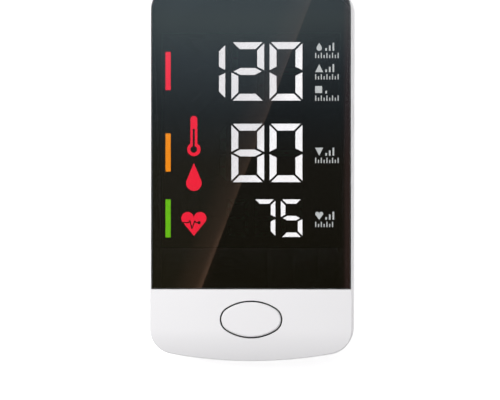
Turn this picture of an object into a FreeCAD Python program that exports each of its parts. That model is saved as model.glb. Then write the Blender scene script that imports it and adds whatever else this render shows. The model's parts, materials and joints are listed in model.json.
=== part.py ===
"""Tabletop blood pressure monitor: console with display, air path and battery bay.

Row frame: millimetres, +Z up, +Y away from the user, +X to the user's right,
origin under the middle of the overall box, on the surface it stands on.
Face frame (u, v, w): u = X, v up the face, w out of the face, w = 0 on the face.
The face leans towards the user by the angle "tilt" about X.
"""
import FreeCAD, Part
import math
import os
import Sketcher

V = FreeCAD.Vector
C = Sketcher.Constraint
doc = FreeCAD.newDocument("pressure_monitor")

# ---------------------------------------------------------------- driving sizes
SIZES = [
    # casing as a whole
    ("tilt", 6.0, "lean of the face, degrees"),
    ("body_width", 76.0, "across the face"),
    ("body_length", 143.9, "up the face, at its middle"),
    ("corner_radius", 9.4, "corners of the outline"),
    ("bow_radius", 168.0, "bowed ends of the outline"),
    ("face_height", 33.5, "middle of the face above the table"),
    ("base_height", 1.5, "underside above the table"),
    ("base_chamfer", 2.8, "slope between base and walls"),
    ("wall", 2.2, "casing wall"),
    ("floor", 2.2, "casing floor"),
    # front case
    ("front_depth", 14.0, "face to parting plane"),
    ("plate", 3.2, "face plate at the chin"),
    ("face_ease", 0.3, "eased edge of the face"),
    ("roll_in", 11.5, "where the chin starts to roll off, from its end"),
    ("roll_radius", 27.0, "roll-off of the chin"),
    ("lip_height", 1.5, "tongue of the rear case in the front case"),
    ("lip_width", 0.9, "tongue thickness"),
    ("fit_gap", 0.1, "clearance of pieces that locate each other"),
    ("seam_width", 0.35, "shadow gap between the cases"),
    ("seam_depth", 0.4, "shadow gap between the cases"),
    # lens
    ("rim", 0.5, "face left round the lens"),
    ("chin", 26.95, "white chin below the lens"),
    ("lens_thick", 1.5, "lens"),
    ("tape_thick", 0.2, "adhesive under the lens"),
    ("tape_step", 0.4, "adhesive inside the edge of the lens"),
    ("tape_lip", 0.3, "adhesive past the edge of the window"),
    ("lens_ease", 0.2, "eased edge of the lens"),
    # window and display
    ("window_land", 3.6, "lens seat beside the window"),
    ("window_in", 20.55, "head of the window from the far end"),
    ("figures_head", 3.65, "figures below the head of the window"),
    ("figures_foot", 4.0, "figures above the foot of the window"),
    ("window_gap", 0.4, "display inside the window"),
    ("film_drop", 0.2, "film below the window face"),
    ("film_thick", 0.2, "diffuser film"),
    ("lamp_depth", 1.2, "diffusing filling of each cell"),
    ("lamp_sink", 0.05, "filling below the top of its cell"),
    ("cell_gap", 0.05, "clearance of the filling in its cell"),
    # figures
    ("big_height", 22.0, "large figures"),
    ("big_width", 12.35, "large figures"),
    ("big_bar", 2.65, "stroke of the large figures"),
    ("big_pitch", 14.35, "large figures"),
    ("small_height", 14.2, "small figures"),
    ("small_width", 8.13, "small figures"),
    ("small_bar", 1.76, "stroke of the small figures"),
    ("small_pitch", 10.15, "small figures"),
    ("segment_gap", 0.5, "between strokes"),
    ("figures_right", 19.18, "right edge of the figures"),
    ("row_gap", 8.6, "between the first and second rows"),
    ("low_gap", 6.35, "between the second and third rows"),
    # coloured marks
    ("bar_side", 1.6, "scale bars in from the window's side"),
    ("bar_width", 2.0, "scale bars"),
    ("bar_height", 14.4, "scale bars"),
    ("bar_lift", 4.0, "bars above the foot of the large rows"),
    ("bar_low", 0.2, "lower bar below the foot of the third row"),
    ("mark_side", 12.3, "coloured marks in from the window's side"),
    ("stem_radius", 1.32, "thermometer stem"),
    ("stem_top", 24.95, "thermometer above the foot of the second row"),
    ("bulb_radius", 2.55, "thermometer bulb"),
    ("bulb_rise", 12.35, "thermometer bulb above the foot of the row"),
    ("drop_radius", 2.95, "drop"),
    ("drop_sink", 0.3, "middle of the drop below the foot of the row"),
    ("drop_tip", 7.55, "point of the drop above its middle"),
    ("heart_half", 4.75, "half width of the heart"),
    ("heart_top", 7.1, "middle of the heart's lobes above the foot of its row"),
    ("heart_foot", 0.4, "point of the heart above the foot of its row"),
    # board
    ("board_top", 8.2, "board below the face"),
    ("board_thick", 1.6, "board"),
    ("board_gap", 1.0, "board to the side walls"),
    ("board_head_in", 14.0, "board from the far end"),
    ("board_wide_in", 17.5, "wide part of the board from the near end"),
    ("board_foot_in", 5.0, "narrow part of the board from the near end"),
    ("board_neck_in", 13.0, "narrow part of the board in from the sides"),
    ("board_post", 2.5, "radius of the board posts"),
    ("board_post_in", 3.8, "board posts in from the board's sides"),
    ("board_post_top", 2.9, "upper board post in from the board's end"),
    ("board_post_low", 4.0, "lower board post in from the wide part's end"),
    ("board_screw", 0.8, "radius of the board screws"),
    ("board_reach", 4.6, "board screw tips below the face"),
    ("tip_room", 0.4, "pilot holes beyond the screw tips"),
    ("board_head", 1.76, "board screw head radius"),
    ("head_thick", 1.3, "board screw head"),
    ("chip_lamp", 1.6, "side of a light chip"),
    ("chip_tall", 0.6, "light chip"),
    ("chip_side", 10.0, "controller chip"),
    ("chip_thick", 1.4, "chips under the board"),
    ("chip_u", 16.0, "driver chips beside the middle"),
    ("chip_v", 30.0, "driver chips below the middle"),
    ("buzzer_x", 15.0, "buzzer"),
    ("buzzer_v", 6.0, "buzzer"),
    ("buzzer_radius", 6.0, "buzzer"),
    ("buzzer_tall", 5.0, "buzzer"),
    ("sound_wide", 1.2, "sound slots in the base"),
    ("sound_long", 9.0, "sound slots in the base"),
    ("sound_pitch", 2.4, "sound slots in the base"),
    # case screws
    ("post_radius", 3.2, "posts for the case screws"),
    ("post_in_x", 8.5, "case screws in from the sides"),
    ("post_in_y", 9.0, "case screws in from the far end"),
    ("boss_wall", 1.2, "boss round a screw post"),
    ("screw_radius", 1.45, "case screw shank"),
    ("screw_head", 2.6, "case screw head radius"),
    ("screw_seat", 20.0, "head seat below the face"),
    ("screw_reach", 7.0, "screw tip below the face"),
    ("screw_thick", 2.0, "case screw head"),
    ("cross_long", 3.0, "cross recess of a screw"),
    ("cross_wide", 0.7, "cross recess of a screw"),
    ("thread_gap", 0.05, "clearance round a shank"),
    # catch that holds the cases together at the near end
    ("catch_half", 7.0, "catch on the tongue, across"),
    ("catch_out", 0.5, "catch beyond the tongue"),
    ("catch_low", 0.5, "catch above the parting plane"),
    ("catch_tall", 0.8, "catch on the tongue"),
    # start button
    ("button_in", 15.65, "button from the near end"),
    ("button_long", 11.2, "half length of the cap"),
    ("button_wide", 6.55, "half width of the cap"),
    ("button_end", 4.6, "radius of the cap's ends"),
    ("button_gap", 0.55, "gap round the cap"),
    ("button_proud", 0.3, "cap above the face"),
    ("button_ease", 0.4, "eased edge of the cap"),
    ("flange_extra", 1.6, "flange beyond the cap"),
    ("flange_thick", 1.0, "flange"),
    ("flange_gap", 0.2, "flange below the plate"),
    ("pad_thick", 1.0, "switch pad"),
    ("pad_radius", 4.0, "key of the switch pad"),
    ("pad_edge", 1.8, "switch pad beyond the flange, across"),
    ("pad_play", 0.1, "switch pad below the key"),
    # battery bay
    ("cell_radius", 5.25, "battery cell"),
    ("cell_length", 44.5, "battery cell with its nub"),
    ("cell_pitch", 10.8, "between cells"),
    ("cell_space", 0.25, "room round a cell"),
    ("bay_wall", 1.5, "walls of the bay"),
    ("bay_in", 9.5, "battery bay from the near end"),
    ("contact_room", 2.25, "between a cell and the end of the bay"),
    ("bay_roof", 1.2, "roof of the bay"),
    ("cell_lift", 0.3, "cells above the floor"),
    ("nub_radius", 2.7, "positive end of a cell"),
    ("nub_length", 1.3, "positive end of a cell"),
    ("door_edge", 1.3, "door beyond the bay's side"),
    ("door_end", 2.0, "door beyond the bay's end"),
    ("door_tongue", 1.8, "tongue of the door"),
    ("door_skin", 1.0, "door below its tongue"),
    ("door_gap", 0.15, "running gap of the door"),
    ("rail_wall", 1.2, "rail round the door's tongue"),
    ("grip_half", 9.0, "grip grooves of the door"),
    ("grip_pitch", 2.4, "grip grooves of the door"),
    ("grip_depth", 0.4, "grip grooves of the door"),
    ("grip_in", 13.4, "first grip groove from the end of the bay"),
    ("arrow_half", 5.0, "arrow in the door"),
    ("arrow_in", 28.9, "point of the arrow from the end of the bay"),
    ("leaf_thick", 0.4, "contact strip"),
    ("leaf_width", 7.0, "contact strip"),
    ("leaf_half", 2.0, "half width of a contact leaf"),
    # air path
    ("air_z", 12.0, "air path above the table"),
    ("hose_outer", 2.5, "hose radius"),
    ("hose_inner", 1.5, "hose bore radius"),
    ("spigot", 1.45, "spigot radius"),
    ("hose_play", 0.3, "hose end to the shoulder that it is pushed to"),
    ("spigot_reach", 3.0, "length of a spigot"),
    ("tee_half", 3.6, "manifold block"),
    ("spigot_space", 1.0, "between two spigots in one hose"),
    ("socket_bore", 2.2, "cuff socket bore radius"),
    ("socket_deep", 8.5, "cuff socket bore depth"),
    ("socket_end", 1.0, "end wall of the cuff socket"),
    ("socket_flange", 5.5, "cuff socket flange radius"),
    ("socket_barrel", 4.4, "cuff socket barrel radius"),
    ("socket_inset", 1.0, "counterbore of the flange"),
    ("nut_flats", 11.0, "retaining nut"),
    ("nut_thick", 2.5, "retaining nut"),
    # pump
    ("pump_in", 26.0, "pump axis from the far end"),
    ("head_lift", 1.0, "pump head above the floor"),
    ("pump_side", 1.8, "pump shaft to the right wall"),
    ("motor_radius", 10.0, "pump motor"),
    ("motor_length", 21.0, "pump motor"),
    ("motor_boss", 3.2, "bearing boss of the motor"),
    ("boss_length", 2.0, "bearing boss of the motor"),
    ("shaft_end", 1.0, "shaft beyond the bearing boss"),
    ("head_side", 20.0, "pump head"),
    ("crank_room", 8.0, "length of the crank housing"),
    ("head_length", 5.0, "length of the pump head"),
    ("diaphragm_thick", 1.0, "pump diaphragm"),
    ("shaft_radius", 1.0, "pump shaft"),
    ("crank_radius", 3.0, "pump eccentric"),
    ("crank_throw", 1.0, "pump eccentric"),
    ("crank_wall", 2.5, "crank housing at its thinnest"),
    ("crank_length", 4.0, "pump eccentric"),
    ("crank_in", 2.0, "pump eccentric from the diaphragm"),
    ("skin_inset", 0.3, "diaphragm inside the head's sides"),
    ("saddle_thick", 2.0, "saddles of the motor"),
    ("saddle_half", 9.0, "half width of the saddles"),
    ("saddle_low", 3.0, "top of the saddles below the pump axis"),
    ("shelf_in", 1.0, "shelves inside the sides of what stands on them"),
    # valve
    ("valve_side", 12.0, "valve"),
    ("seat_length", 4.5, "valve seat block"),
    ("seat_wall", 1.5, "end wall of the seat block"),
    ("yoke_length", 15.0, "valve yoke"),
    ("yoke_inset", 1.0, "yoke narrower than the seat block"),
    ("plunger_end", 1.5, "plunger beyond the yoke"),
    ("yoke_thick", 1.0, "valve yoke"),
    ("coil_radius", 4.8, "valve coil"),
    ("plunger_radius", 2.0, "valve plunger"),
    ("plunger_travel", 0.6, "valve plunger"),
    ("running_gap", 0.1, "round moving shafts"),
    ("sensor_half", 3.6, "pressure sensor"),
    ("sensor_tall", 3.4, "pressure sensor"),
    # feet
    ("foot_half", 3.2, "half width of a rubber foot"),
    ("foot_cut", 1.2, "cut corners of a rubber foot"),
    ("foot_recess", 0.5, "foot sunk in the base"),
    ("foot_front_in", 21.5, "feet from the near end"),
    ("foot_back_in", 18.5, "feet from the far end"),
    # ports in the right wall
    ("strip_gap", 2.8, "test strip connector below the window"),
    ("strip_w", 6.2, "test strip slot below the face"),
    ("strip_long", 8.6, "test strip slot"),
    ("strip_high", 1.6, "test strip slot"),
    ("power_y", 20.0, "power socket"),
    ("power_long", 9.0, "power socket shell"),
    ("power_high", 3.2, "power socket shell"),
    ("power_deep", 7.4, "power socket shell"),
    ("power_inset", 0.6, "mouth of the power socket inside the wall's face"),
    ("power_wall", 0.4, "power socket shell"),
    ("power_round", 1.34, "long edges of the power socket"),
    ("power_bore", 5.9, "depth of the power socket's mouth"),
    ("power_mouth_in", 0.95, "mouth of the power socket in from its ends"),
    ("power_tongue_in", 1.7, "tongue of the power socket in from its ends"),
    ("power_play", 0.25, "case round the power socket"),
    ("strip_wall", 1.5, "housing beside the test strip"),
    ("strip_deep", 15.0, "test strip connector"),
    ("strip_throat", 11.0, "reach of a test strip"),
]

sheet = doc.addObject("Spreadsheet::Sheet", "sizes")
for row, (alias, value, meaning) in enumerate(SIZES, start=1):
    sheet.set("A%d" % row, alias)
    sheet.set("B%d" % row, str(value))
    sheet.set("C%d" % row, meaning)
    sheet.setAlias("B%d" % row, alias)
doc.recompute()


# ---------------------------------------------------------------- dimensions
class Dim:
    """A length or angle: its value now, and the sheet expression it follows."""

    def __init__(self, value, text):
        self.value = float(value)
        self.text = text

    def _join(self, other, sign, value):
        return Dim(value, "(%s %s %s)" % (self.text, sign, other.text))

    def __add__(self, other):
        other = dim(other)
        return self._join(other, "+", self.value + other.value)

    def __radd__(self, other):
        return dim(other) + self

    def __sub__(self, other):
        other = dim(other)
        return self._join(other, "-", self.value - other.value)

    def __rsub__(self, other):
        return dim(other) - self

    def __mul__(self, other):
        other = dim(other)
        return self._join(other, "*", self.value * other.value)

    def __rmul__(self, other):
        return dim(other) * self

    def __truediv__(self, other):
        other = dim(other)
        return self._join(other, "/", self.value / other.value)

    def __neg__(self):
        return Dim(-self.value, "(0 - %s)" % self.text)


def dim(number):
    """Wrap a bare number, so that it mixes with named sizes."""
    if isinstance(number, Dim):
        return number
    return Dim(number, "%.6f" % number if number >= 0 else "(0 - %.6f)" % -number)


def root(length):
    """Square root of a Dim."""
    return Dim(math.sqrt(length.value), "sqrt(%s)" % length.text)


def sine(angle):
    """Sine of a Dim in degrees."""
    return Dim(math.sin(math.radians(angle.value)), "sin(%s)" % angle.text)


def cosine(angle):
    """Cosine of a Dim in degrees."""
    return Dim(math.cos(math.radians(angle.value)), "cos(%s)" % angle.text)


class Sheet:
    """The named sizes as Dims: D.wall is the wall."""


D = Sheet()
for alias, value, meaning in SIZES:
    setattr(D, alias, Dim(getattr(sheet, alias), "sizes.%s" % alias))

derived = doc.addObject("Spreadsheet::Sheet", "places")


def keep(alias, length):
    """Keep a worked-out length in the second sheet and return its short name."""
    row = len(kept) + 1
    kept.append(alias)
    derived.set("A%d" % row, alias)
    derived.set("B%d" % row, "=" + length.text)
    derived.setAlias("B%d" % row, alias)
    return Dim(length.value, "places.%s" % alias)


kept = []
sin_tilt = keep("sin_tilt", sine(D.tilt))
cos_tilt = keep("cos_tilt", cosine(D.tilt))

# corner arcs touch the side line and the bow: their centres follow from both
corner_x = keep("corner_x", D.body_width / 2 - D.corner_radius)
bow_y = keep("bow_y", D.body_length / 2 - D.bow_radius)
bow_minus = D.bow_radius - D.corner_radius
corner_y = keep("corner_y", bow_y + root(bow_minus * bow_minus - corner_x * corner_x))

# the box of the case is centred on the origin: far end where the wall meets the
# base slope, near end at the eased top edge of the rolled-off chin
far_drop = D.face_height - D.base_height - D.base_chamfer * cos_tilt
far_reach = (D.body_length / 2 + far_drop * sin_tilt) / cos_tilt
roll_start = keep("roll_start", D.body_length / 2 - D.roll_in)
chin_run = D.body_length / 2 - roll_start
chin_drop = D.roll_radius - root(D.roll_radius * D.roll_radius - chin_run * chin_run)
near_reach = D.body_length / 2 * cos_tilt - (chin_drop + D.face_ease) * sin_tilt
face_y = keep("face_y", (near_reach - far_reach) / 2)
floor_z = keep("floor_z", D.base_height + D.floor)
board_under = keep("board_under", D.board_top + D.board_thick)

# lens, window and what lies in it, from the top down
lens_foot = keep("lens_foot", D.body_length / 2 - D.chin)
window_half = keep("window_half", D.body_width / 2 - D.rim - D.window_land)
window_head = keep("window_head", D.body_length / 2 - D.window_in)
first_row = keep("first_row", window_head - D.figures_head - D.big_height)
second_row = keep("second_row", first_row - D.row_gap - D.big_height)
third_row = keep("third_row", second_row - D.low_gap - D.small_height)
window_foot = keep("window_foot", D.figures_foot - third_row)
bar_one = keep("bar_one", first_row + D.bar_lift)
bar_two = keep("bar_two", second_row + D.bar_lift)
bar_three = keep("bar_three", third_row - D.bar_low)
stem_top = keep("stem_top", second_row + D.stem_top)
bulb_y = keep("bulb_y", second_row + D.bulb_rise)
drop_y = keep("drop_y", second_row - D.drop_sink)
heart_top = keep("heart_top", third_row + D.heart_top)
heart_foot = keep("heart_foot", third_row + D.heart_foot)
bar_left = keep("bar_left", D.bar_side - window_half)
mark_x = keep("mark_x", D.mark_side - window_half)

# board and screws, from the outline of the case
post_x = keep("post_x", D.body_width / 2 - D.post_in_x)
post_y = keep("post_y", D.body_length / 2 - D.post_in_y)
board_half = keep("board_half", D.body_width / 2 - D.wall - D.board_gap)
board_head = keep("board_head", D.body_length / 2 - D.board_head_in)
board_wide = keep("board_wide", D.body_length / 2 - D.board_wide_in)
board_foot = keep("board_foot", D.body_length / 2 - D.board_foot_in)
board_neck = keep("board_neck", D.body_width / 2 - D.board_neck_in)
board_post_x = keep("board_post_x", board_half - D.board_post_in)
board_post_head = keep("board_post_head", board_head - D.board_post_top)
board_post_low = keep("board_post_low", board_wide - D.board_post_low)
button_y = keep("button_y", D.body_length / 2 - D.button_in)
strip_half = D.strip_long / 2 + D.strip_wall
strip_y = keep("strip_y", -window_foot - D.strip_gap - strip_half)

# battery bay and door, from the near end and the cells
bay_half = keep("bay_half", D.cell_pitch * 1.5 + D.cell_radius + D.cell_space)
bay_foot = keep("bay_foot", D.bay_in - D.body_length / 2)
bay_head = keep("bay_head", bay_foot + D.cell_length + D.contact_room * 2)
cell_z = keep("cell_z", floor_z + D.cell_lift + D.cell_radius)
door_half = keep("door_half", bay_half + D.door_edge)
foot_x = keep("foot_x", (door_half + D.door_gap + D.body_width / 2 - D.base_chamfer) / 2)

# pump against the right wall, manifold under the nozzle of the pump head
pump_y = keep("pump_y", D.body_length / 2 - D.pump_in)
pump_z = keep("pump_z", floor_z + D.head_lift + D.head_side / 2)
shaft_stop = D.body_width / 2 - D.wall - D.pump_side
motor_start = keep("motor_start", shaft_stop - D.shaft_end - D.boss_length - D.motor_length)
head_start = keep("head_start", motor_start - D.crank_room - D.head_length)
tee_x = keep("tee_x", head_start + (D.head_length - D.diaphragm_thick) / 2)
tee_reach = keep("tee_reach", D.tee_half + D.spigot_reach)
tee_y = keep("tee_y", pump_y - D.head_side / 2 - D.spigot_reach - D.spigot_space - tee_reach)
valve_start = keep("valve_start", tee_x + tee_reach + D.spigot_space + D.spigot_reach)
doc.recompute()


def face_to_row(v, w):
    """Row-frame (y, z) of a point (v, w) of the face frame."""
    y = face_y + v * cos_tilt - w * sin_tilt
    z = D.face_height + v * sin_tilt + w * cos_tilt
    return y, z


def row_to_face(y, z):
    """Face-frame (v, w) of a row-frame point (y, z)."""
    v = (y - face_y) * cos_tilt + (z - D.face_height) * sin_tilt
    w = (z - D.face_height) * cos_tilt - (y - face_y) * sin_tilt
    return v, w


# ---------------------------------------------------------------- small helpers
parts = []
ZERO = dim(0)
OVER = dim(1)     # a cut starts this far outside the solid
SUNK = dim(0.5)   # a fused piece reaches this far into its carrier


def bind(item, path, length):
    """Tie one property to the sheet."""
    item.setExpression(path, dim(length).text)


def lay(item, x=0, y=0, z=0, turn=None, lean=None):
    """Place an item; lean is a Dim angle about X, turn a fixed (axis, degrees)."""
    spots = [dim(x), dim(y), dim(z)]
    base = V(*[spot.value for spot in spots])
    rotation = FreeCAD.Rotation()
    if turn is not None:
        rotation = FreeCAD.Rotation(V(*turn[0]), turn[1])
    if lean is not None:
        rotation = FreeCAD.Rotation(V(1, 0, 0), lean.value)
    item.Placement = FreeCAD.Placement(base, rotation)
    for axis, spot in zip("xyz", spots):
        if "." in spot.text and ("sizes" in spot.text or "places" in spot.text):
            bind(item, "Placement.Base." + axis, spot)
    if lean is not None:
        bind(item, "Placement.Rotation.Angle", lean)
    return item


def on_face(item):
    """Carry an item drawn in the face frame into the row frame."""
    return lay(item, 0, face_y, D.face_height, lean=D.tilt)


def node(item, name):
    """Name a finished sub-part and list it for export."""
    item.Label = name
    parts.append(item)
    return item


def body(name):
    return doc.addObject("PartDesign::Body", name)


def plane_of(owner, role):
    """One of a body's own origin planes."""
    return [f for f in owner.Origin.OriginFeatures if f.Role == role][0]


def sketch(owner, role="XY_Plane", shift=0):
    """A sketch on a body's plane, shifted along the plane's normal."""
    item = owner.newObject("Sketcher::SketchObject", owner.Name + "_sketch")
    item.AttachmentSupport = [(plane_of(owner, role), "")]
    item.MapMode = "FlatFace"
    shift = dim(shift)
    item.AttachmentOffset = FreeCAD.Placement(V(0, 0, shift.value), FreeCAD.Rotation())
    if shift.value:
        bind(item, "AttachmentOffset.Base.z", shift)
    return item


def leaning_sketch(owner, depth):
    """A sketch parallel to the face, at a depth below it, in a row-frame body."""
    item = sketch(owner)
    y, z = face_to_row(ZERO, -dim(depth))
    item.AttachmentOffset = FreeCAD.Placement(V(0, y.value, z.value),
                                              FreeCAD.Rotation(V(1, 0, 0), D.tilt.value))
    bind(item, "AttachmentOffset.Base.y", y)
    bind(item, "AttachmentOffset.Base.z", z)
    bind(item, "AttachmentOffset.Rotation.Angle", D.tilt)
    return item


def measure(item, kind, geo, spot, length, base=(-1, 1)):
    """Add one driving dimension from the sketch origin and tie it to the sheet."""
    length = dim(length)
    item.addConstraint(C(kind, base[0], base[1], geo, spot, length.value))
    item.setExpression("Constraints[%d]" % (item.ConstraintCount - 1), length.text)


def pin_point(item, geo, spot, x, y):
    """Fix a point of a sketch at (x, y)."""
    measure(item, "DistanceX", geo, spot, x)
    measure(item, "DistanceY", geo, spot, y)


def polygon(item, points):
    """A closed run of straight lines through dimensioned corners."""
    points = [(dim(x), dim(y)) for x, y in points]
    first = item.GeometryCount
    count = len(points)
    lines = []
    for k in range(count):
        (x0, y0), (x1, y1) = points[k], points[(k + 1) % count]
        lines.append(Part.LineSegment(V(x0.value, y0.value, 0), V(x1.value, y1.value, 0)))
    item.addGeometry(lines, False)
    for k in range(count):
        item.addConstraint(C("Coincident", first + k, 2, first + (k + 1) % count, 1))
        pin_point(item, first + k, 1, *points[k])
    return item


def rectangle(item, x0, y0, x1, y1):
    return polygon(item, [(x0, y0), (x1, y0), (x1, y1), (x0, y1)])


def circle(item, x, y, radius):
    x, y, radius = dim(x), dim(y), dim(radius)
    geo = item.GeometryCount
    item.addGeometry(Part.Circle(V(x.value, y.value, 0), V(0, 0, 1), radius.value), False)
    pin_point(item, geo, 3, x, y)
    item.addConstraint(C("Radius", geo, radius.value))
    item.setExpression("Constraints[%d]" % (item.ConstraintCount - 1), radius.text)
    return item


def oval(item, y, grow=0):
    """The button's oval of four arcs that touch each other, moved out by grow."""
    y, grow = dim(y), dim(grow)
    shoulder = D.button_long - D.button_end
    lean = D.button_wide - D.button_end
    flank = (shoulder * shoulder + lean * (D.button_wide + D.button_end)) / (lean * 2)
    rise = flank - D.button_wide
    turn = math.atan2(rise.value, shoulder.value)
    end, side = D.button_end + grow, flank + grow
    cx, cy = shoulder.value, y.value
    geo = item.GeometryCount
    item.addGeometry([
        arc(cx, cy, end.value, -turn, turn),
        arc(0, cy - rise.value, side.value, turn, math.pi - turn),
        arc(-cx, cy, end.value, math.pi - turn, math.pi + turn),
        arc(0, cy + rise.value, side.value, math.pi + turn, 2 * math.pi - turn),
    ], False)
    for k in range(4):
        item.addConstraint(C("Tangent", geo + k, 2, geo + (k + 1) % 4, 1))
    for k, radius in enumerate((end, side, end, side)):
        item.addConstraint(C("Radius", geo + k, radius.value))
        item.setExpression("Constraints[%d]" % (item.ConstraintCount - 1), radius.text)
    pin_point(item, geo, 3, shoulder, y)
    pin_point(item, geo + 2, 3, -shoulder, y)
    return item


def arc(x, y, radius, start, end):
    return Part.ArcOfCircle(Part.Circle(V(x, y, 0), V(0, 0, 1), radius), start, end)


def outline(item, inset=0):
    """The bowed, round-cornered outline of the casing, moved in by inset."""
    inset = dim(inset)
    half = D.body_width / 2 - inset
    corner = D.corner_radius - inset
    bow = D.bow_radius - inset
    cx, cy, by = corner_x.value, corner_y.value, bow_y.value
    turn = math.atan2(cy - by, cx)
    flip = math.pi
    geo = item.GeometryCount
    item.addGeometry([
        Part.LineSegment(V(half.value, -cy, 0), V(half.value, cy, 0)),
        arc(cx, cy, corner.value, 0, turn),
        arc(0, by, bow.value, turn, flip - turn),
        arc(-cx, cy, corner.value, flip - turn, flip),
        Part.LineSegment(V(-half.value, cy, 0), V(-half.value, -cy, 0)),
        arc(-cx, -cy, corner.value, flip, flip + turn),
        arc(0, -by, bow.value, flip + turn, 2 * flip - turn),
        arc(cx, -cy, corner.value, -turn, 0),
    ], False)
    for k in range(8):
        item.addConstraint(C("Tangent", geo + k, 2, geo + (k + 1) % 8, 1))
    for k in (1, 3, 5, 7):
        item.addConstraint(C("Radius", geo + k, corner.value))
        item.setExpression("Constraints[%d]" % (item.ConstraintCount - 1), corner.text)
    for k, sign in ((2, 1), (6, -1)):
        item.addConstraint(C("Radius", geo + k, bow.value))
        item.setExpression("Constraints[%d]" % (item.ConstraintCount - 1), bow.text)
        item.addConstraint(C("PointOnObject", geo + k, 3, -2))
        measure(item, "DistanceY", geo + k, 3, bow_y * sign)
    measure(item, "DistanceX", geo, 1, half)
    measure(item, "DistanceX", geo + 4, 1, -half)
    return item


def arch(item, inset, foot):
    """The upper part of the outline, closed by a straight foot."""
    inset, foot = dim(inset), dim(foot)
    half = D.body_width / 2 - inset
    corner = D.corner_radius - inset
    bow = D.bow_radius - inset
    cx, cy, by = corner_x.value, corner_y.value, bow_y.value
    turn = math.atan2(cy - by, cx)
    flip = math.pi
    geo = item.GeometryCount
    item.addGeometry([
        Part.LineSegment(V(half.value, foot.value, 0), V(half.value, cy, 0)),
        arc(cx, cy, corner.value, 0, turn),
        arc(0, by, bow.value, turn, flip - turn),
        arc(-cx, cy, corner.value, flip - turn, flip),
        Part.LineSegment(V(-half.value, cy, 0), V(-half.value, foot.value, 0)),
        Part.LineSegment(V(-half.value, foot.value, 0), V(half.value, foot.value, 0)),
    ], False)
    for k in range(4):
        item.addConstraint(C("Tangent", geo + k, 2, geo + k + 1, 1))
    item.addConstraint(C("Coincident", geo + 4, 2, geo + 5, 1))
    item.addConstraint(C("Coincident", geo + 5, 2, geo, 1))
    for k, radius in ((1, corner), (3, corner), (2, bow)):
        item.addConstraint(C("Radius", geo + k, radius.value))
        item.setExpression("Constraints[%d]" % (item.ConstraintCount - 1), radius.text)
    item.addConstraint(C("PointOnObject", geo + 2, 3, -2))
    measure(item, "DistanceY", geo + 2, 3, bow_y)
    pin_point(item, geo, 1, half, foot)
    pin_point(item, geo + 5, 1, -half, foot)
    return item


def pad(owner, profile, length, back=False, both=False):
    """Extrude a sketch; back goes against its normal, both is symmetric."""
    item = owner.newObject("PartDesign::Pad", owner.Name + "_pad")
    item.Profile = profile
    item.Reversed = back
    if both:
        item.SideType = "Symmetric"
    bind(item, "Length", length)
    profile.Visibility = False
    doc.recompute()
    return item


def pocket(owner, profile, depth, up=False, both=False):
    """Cut a sketch out of a body, downwards unless told otherwise."""
    before = owner.Shape.Volume
    item = owner.newObject("PartDesign::Pocket", owner.Name + "_pocket")
    item.Profile = profile
    item.Reversed = up
    if both:
        item.SideType = "Symmetric"
    bind(item, "Length", depth)
    doc.recompute()
    if owner.Shape.Volume > before - 1e-6:
        raise RuntimeError("a pocket of %s cuts nothing" % owner.Name)
    return item


def soften(owner, radius, chosen):
    """Fillet the edges of a body that a test picks."""
    tip = owner.Tip
    names = ["Edge%d" % (k + 1) for k, edge in enumerate(tip.Shape.Edges) if chosen(edge)]
    item = owner.newObject("PartDesign::Fillet", owner.Name + "_fillet")
    item.Base = (tip, names)
    bind(item, "Radius", radius)
    doc.recompute()
    return item


def bevel(owner, size, chosen):
    """Chamfer the edges of a body that a test picks."""
    tip = owner.Tip
    names = ["Edge%d" % (k + 1) for k, edge in enumerate(tip.Shape.Edges) if chosen(edge)]
    item = owner.newObject("PartDesign::Chamfer", owner.Name + "_chamfer")
    item.Base = (tip, names)
    bind(item, "Size", size)
    doc.recompute()
    return item


def spin(owner, profile, axis="H_Axis"):
    """Revolve a sketch round one of its own axes."""
    item = owner.newObject("PartDesign::Revolution", owner.Name + "_turned")
    item.Profile = profile
    item.ReferenceAxis = (profile, [axis])
    item.Angle = 360
    doc.recompute()
    return item


def add_post(owner, x, y, z, radius, height):
    """A round post inside a PartDesign body, standing along its Z."""
    item = owner.newObject("PartDesign::AdditiveCylinder", owner.Name + "_post")
    bind(item, "Radius", radius)
    bind(item, "Height", height)
    lay(item, x, y, z)
    doc.recompute()
    return item


def cut_post(owner, x, y, z, radius, height):
    """A round hole inside a PartDesign body, along its Z."""
    before = owner.Shape.Volume
    item = owner.newObject("PartDesign::SubtractiveCylinder", owner.Name + "_hole")
    bind(item, "Radius", radius)
    bind(item, "Height", height)
    lay(item, x, y, z)
    doc.recompute()
    if owner.Shape.Volume > before - 1e-6:
        raise RuntimeError("a hole of %s cuts nothing" % owner.Name)
    return item


def cut_block(owner, x0, y0, z0, x1, y1, z1):
    """A box cut out of a PartDesign body."""
    before = owner.Shape.Volume
    item = owner.newObject("PartDesign::SubtractiveBox", owner.Name + "_slot")
    bind(item, "Length", dim(x1) - x0)
    bind(item, "Width", dim(y1) - y0)
    bind(item, "Height", dim(z1) - z0)
    lay(item, x0, y0, z0)
    doc.recompute()
    if owner.Shape.Volume > before - 1e-6:
        raise RuntimeError("a slot of %s cuts nothing" % owner.Name)
    return item


def block(name, x0, y0, z0, x1, y1, z1):
    """A box between two corners."""
    item = doc.addObject("Part::Box", name)
    bind(item, "Length", dim(x1) - x0)
    bind(item, "Width", dim(y1) - y0)
    bind(item, "Height", dim(z1) - z0)
    return lay(item, x0, y0, z0)


ALONG_X = ((0, 1, 0), 90)
ALONG_Y = ((1, 0, 0), -90)


def rod(name, x, y, z, radius, length, turn=None, lean=None):
    """A cylinder from a point, along +Z unless turned."""
    item = doc.addObject("Part::Cylinder", name)
    bind(item, "Radius", radius)
    bind(item, "Height", length)
    return lay(item, x, y, z, turn, lean)


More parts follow.
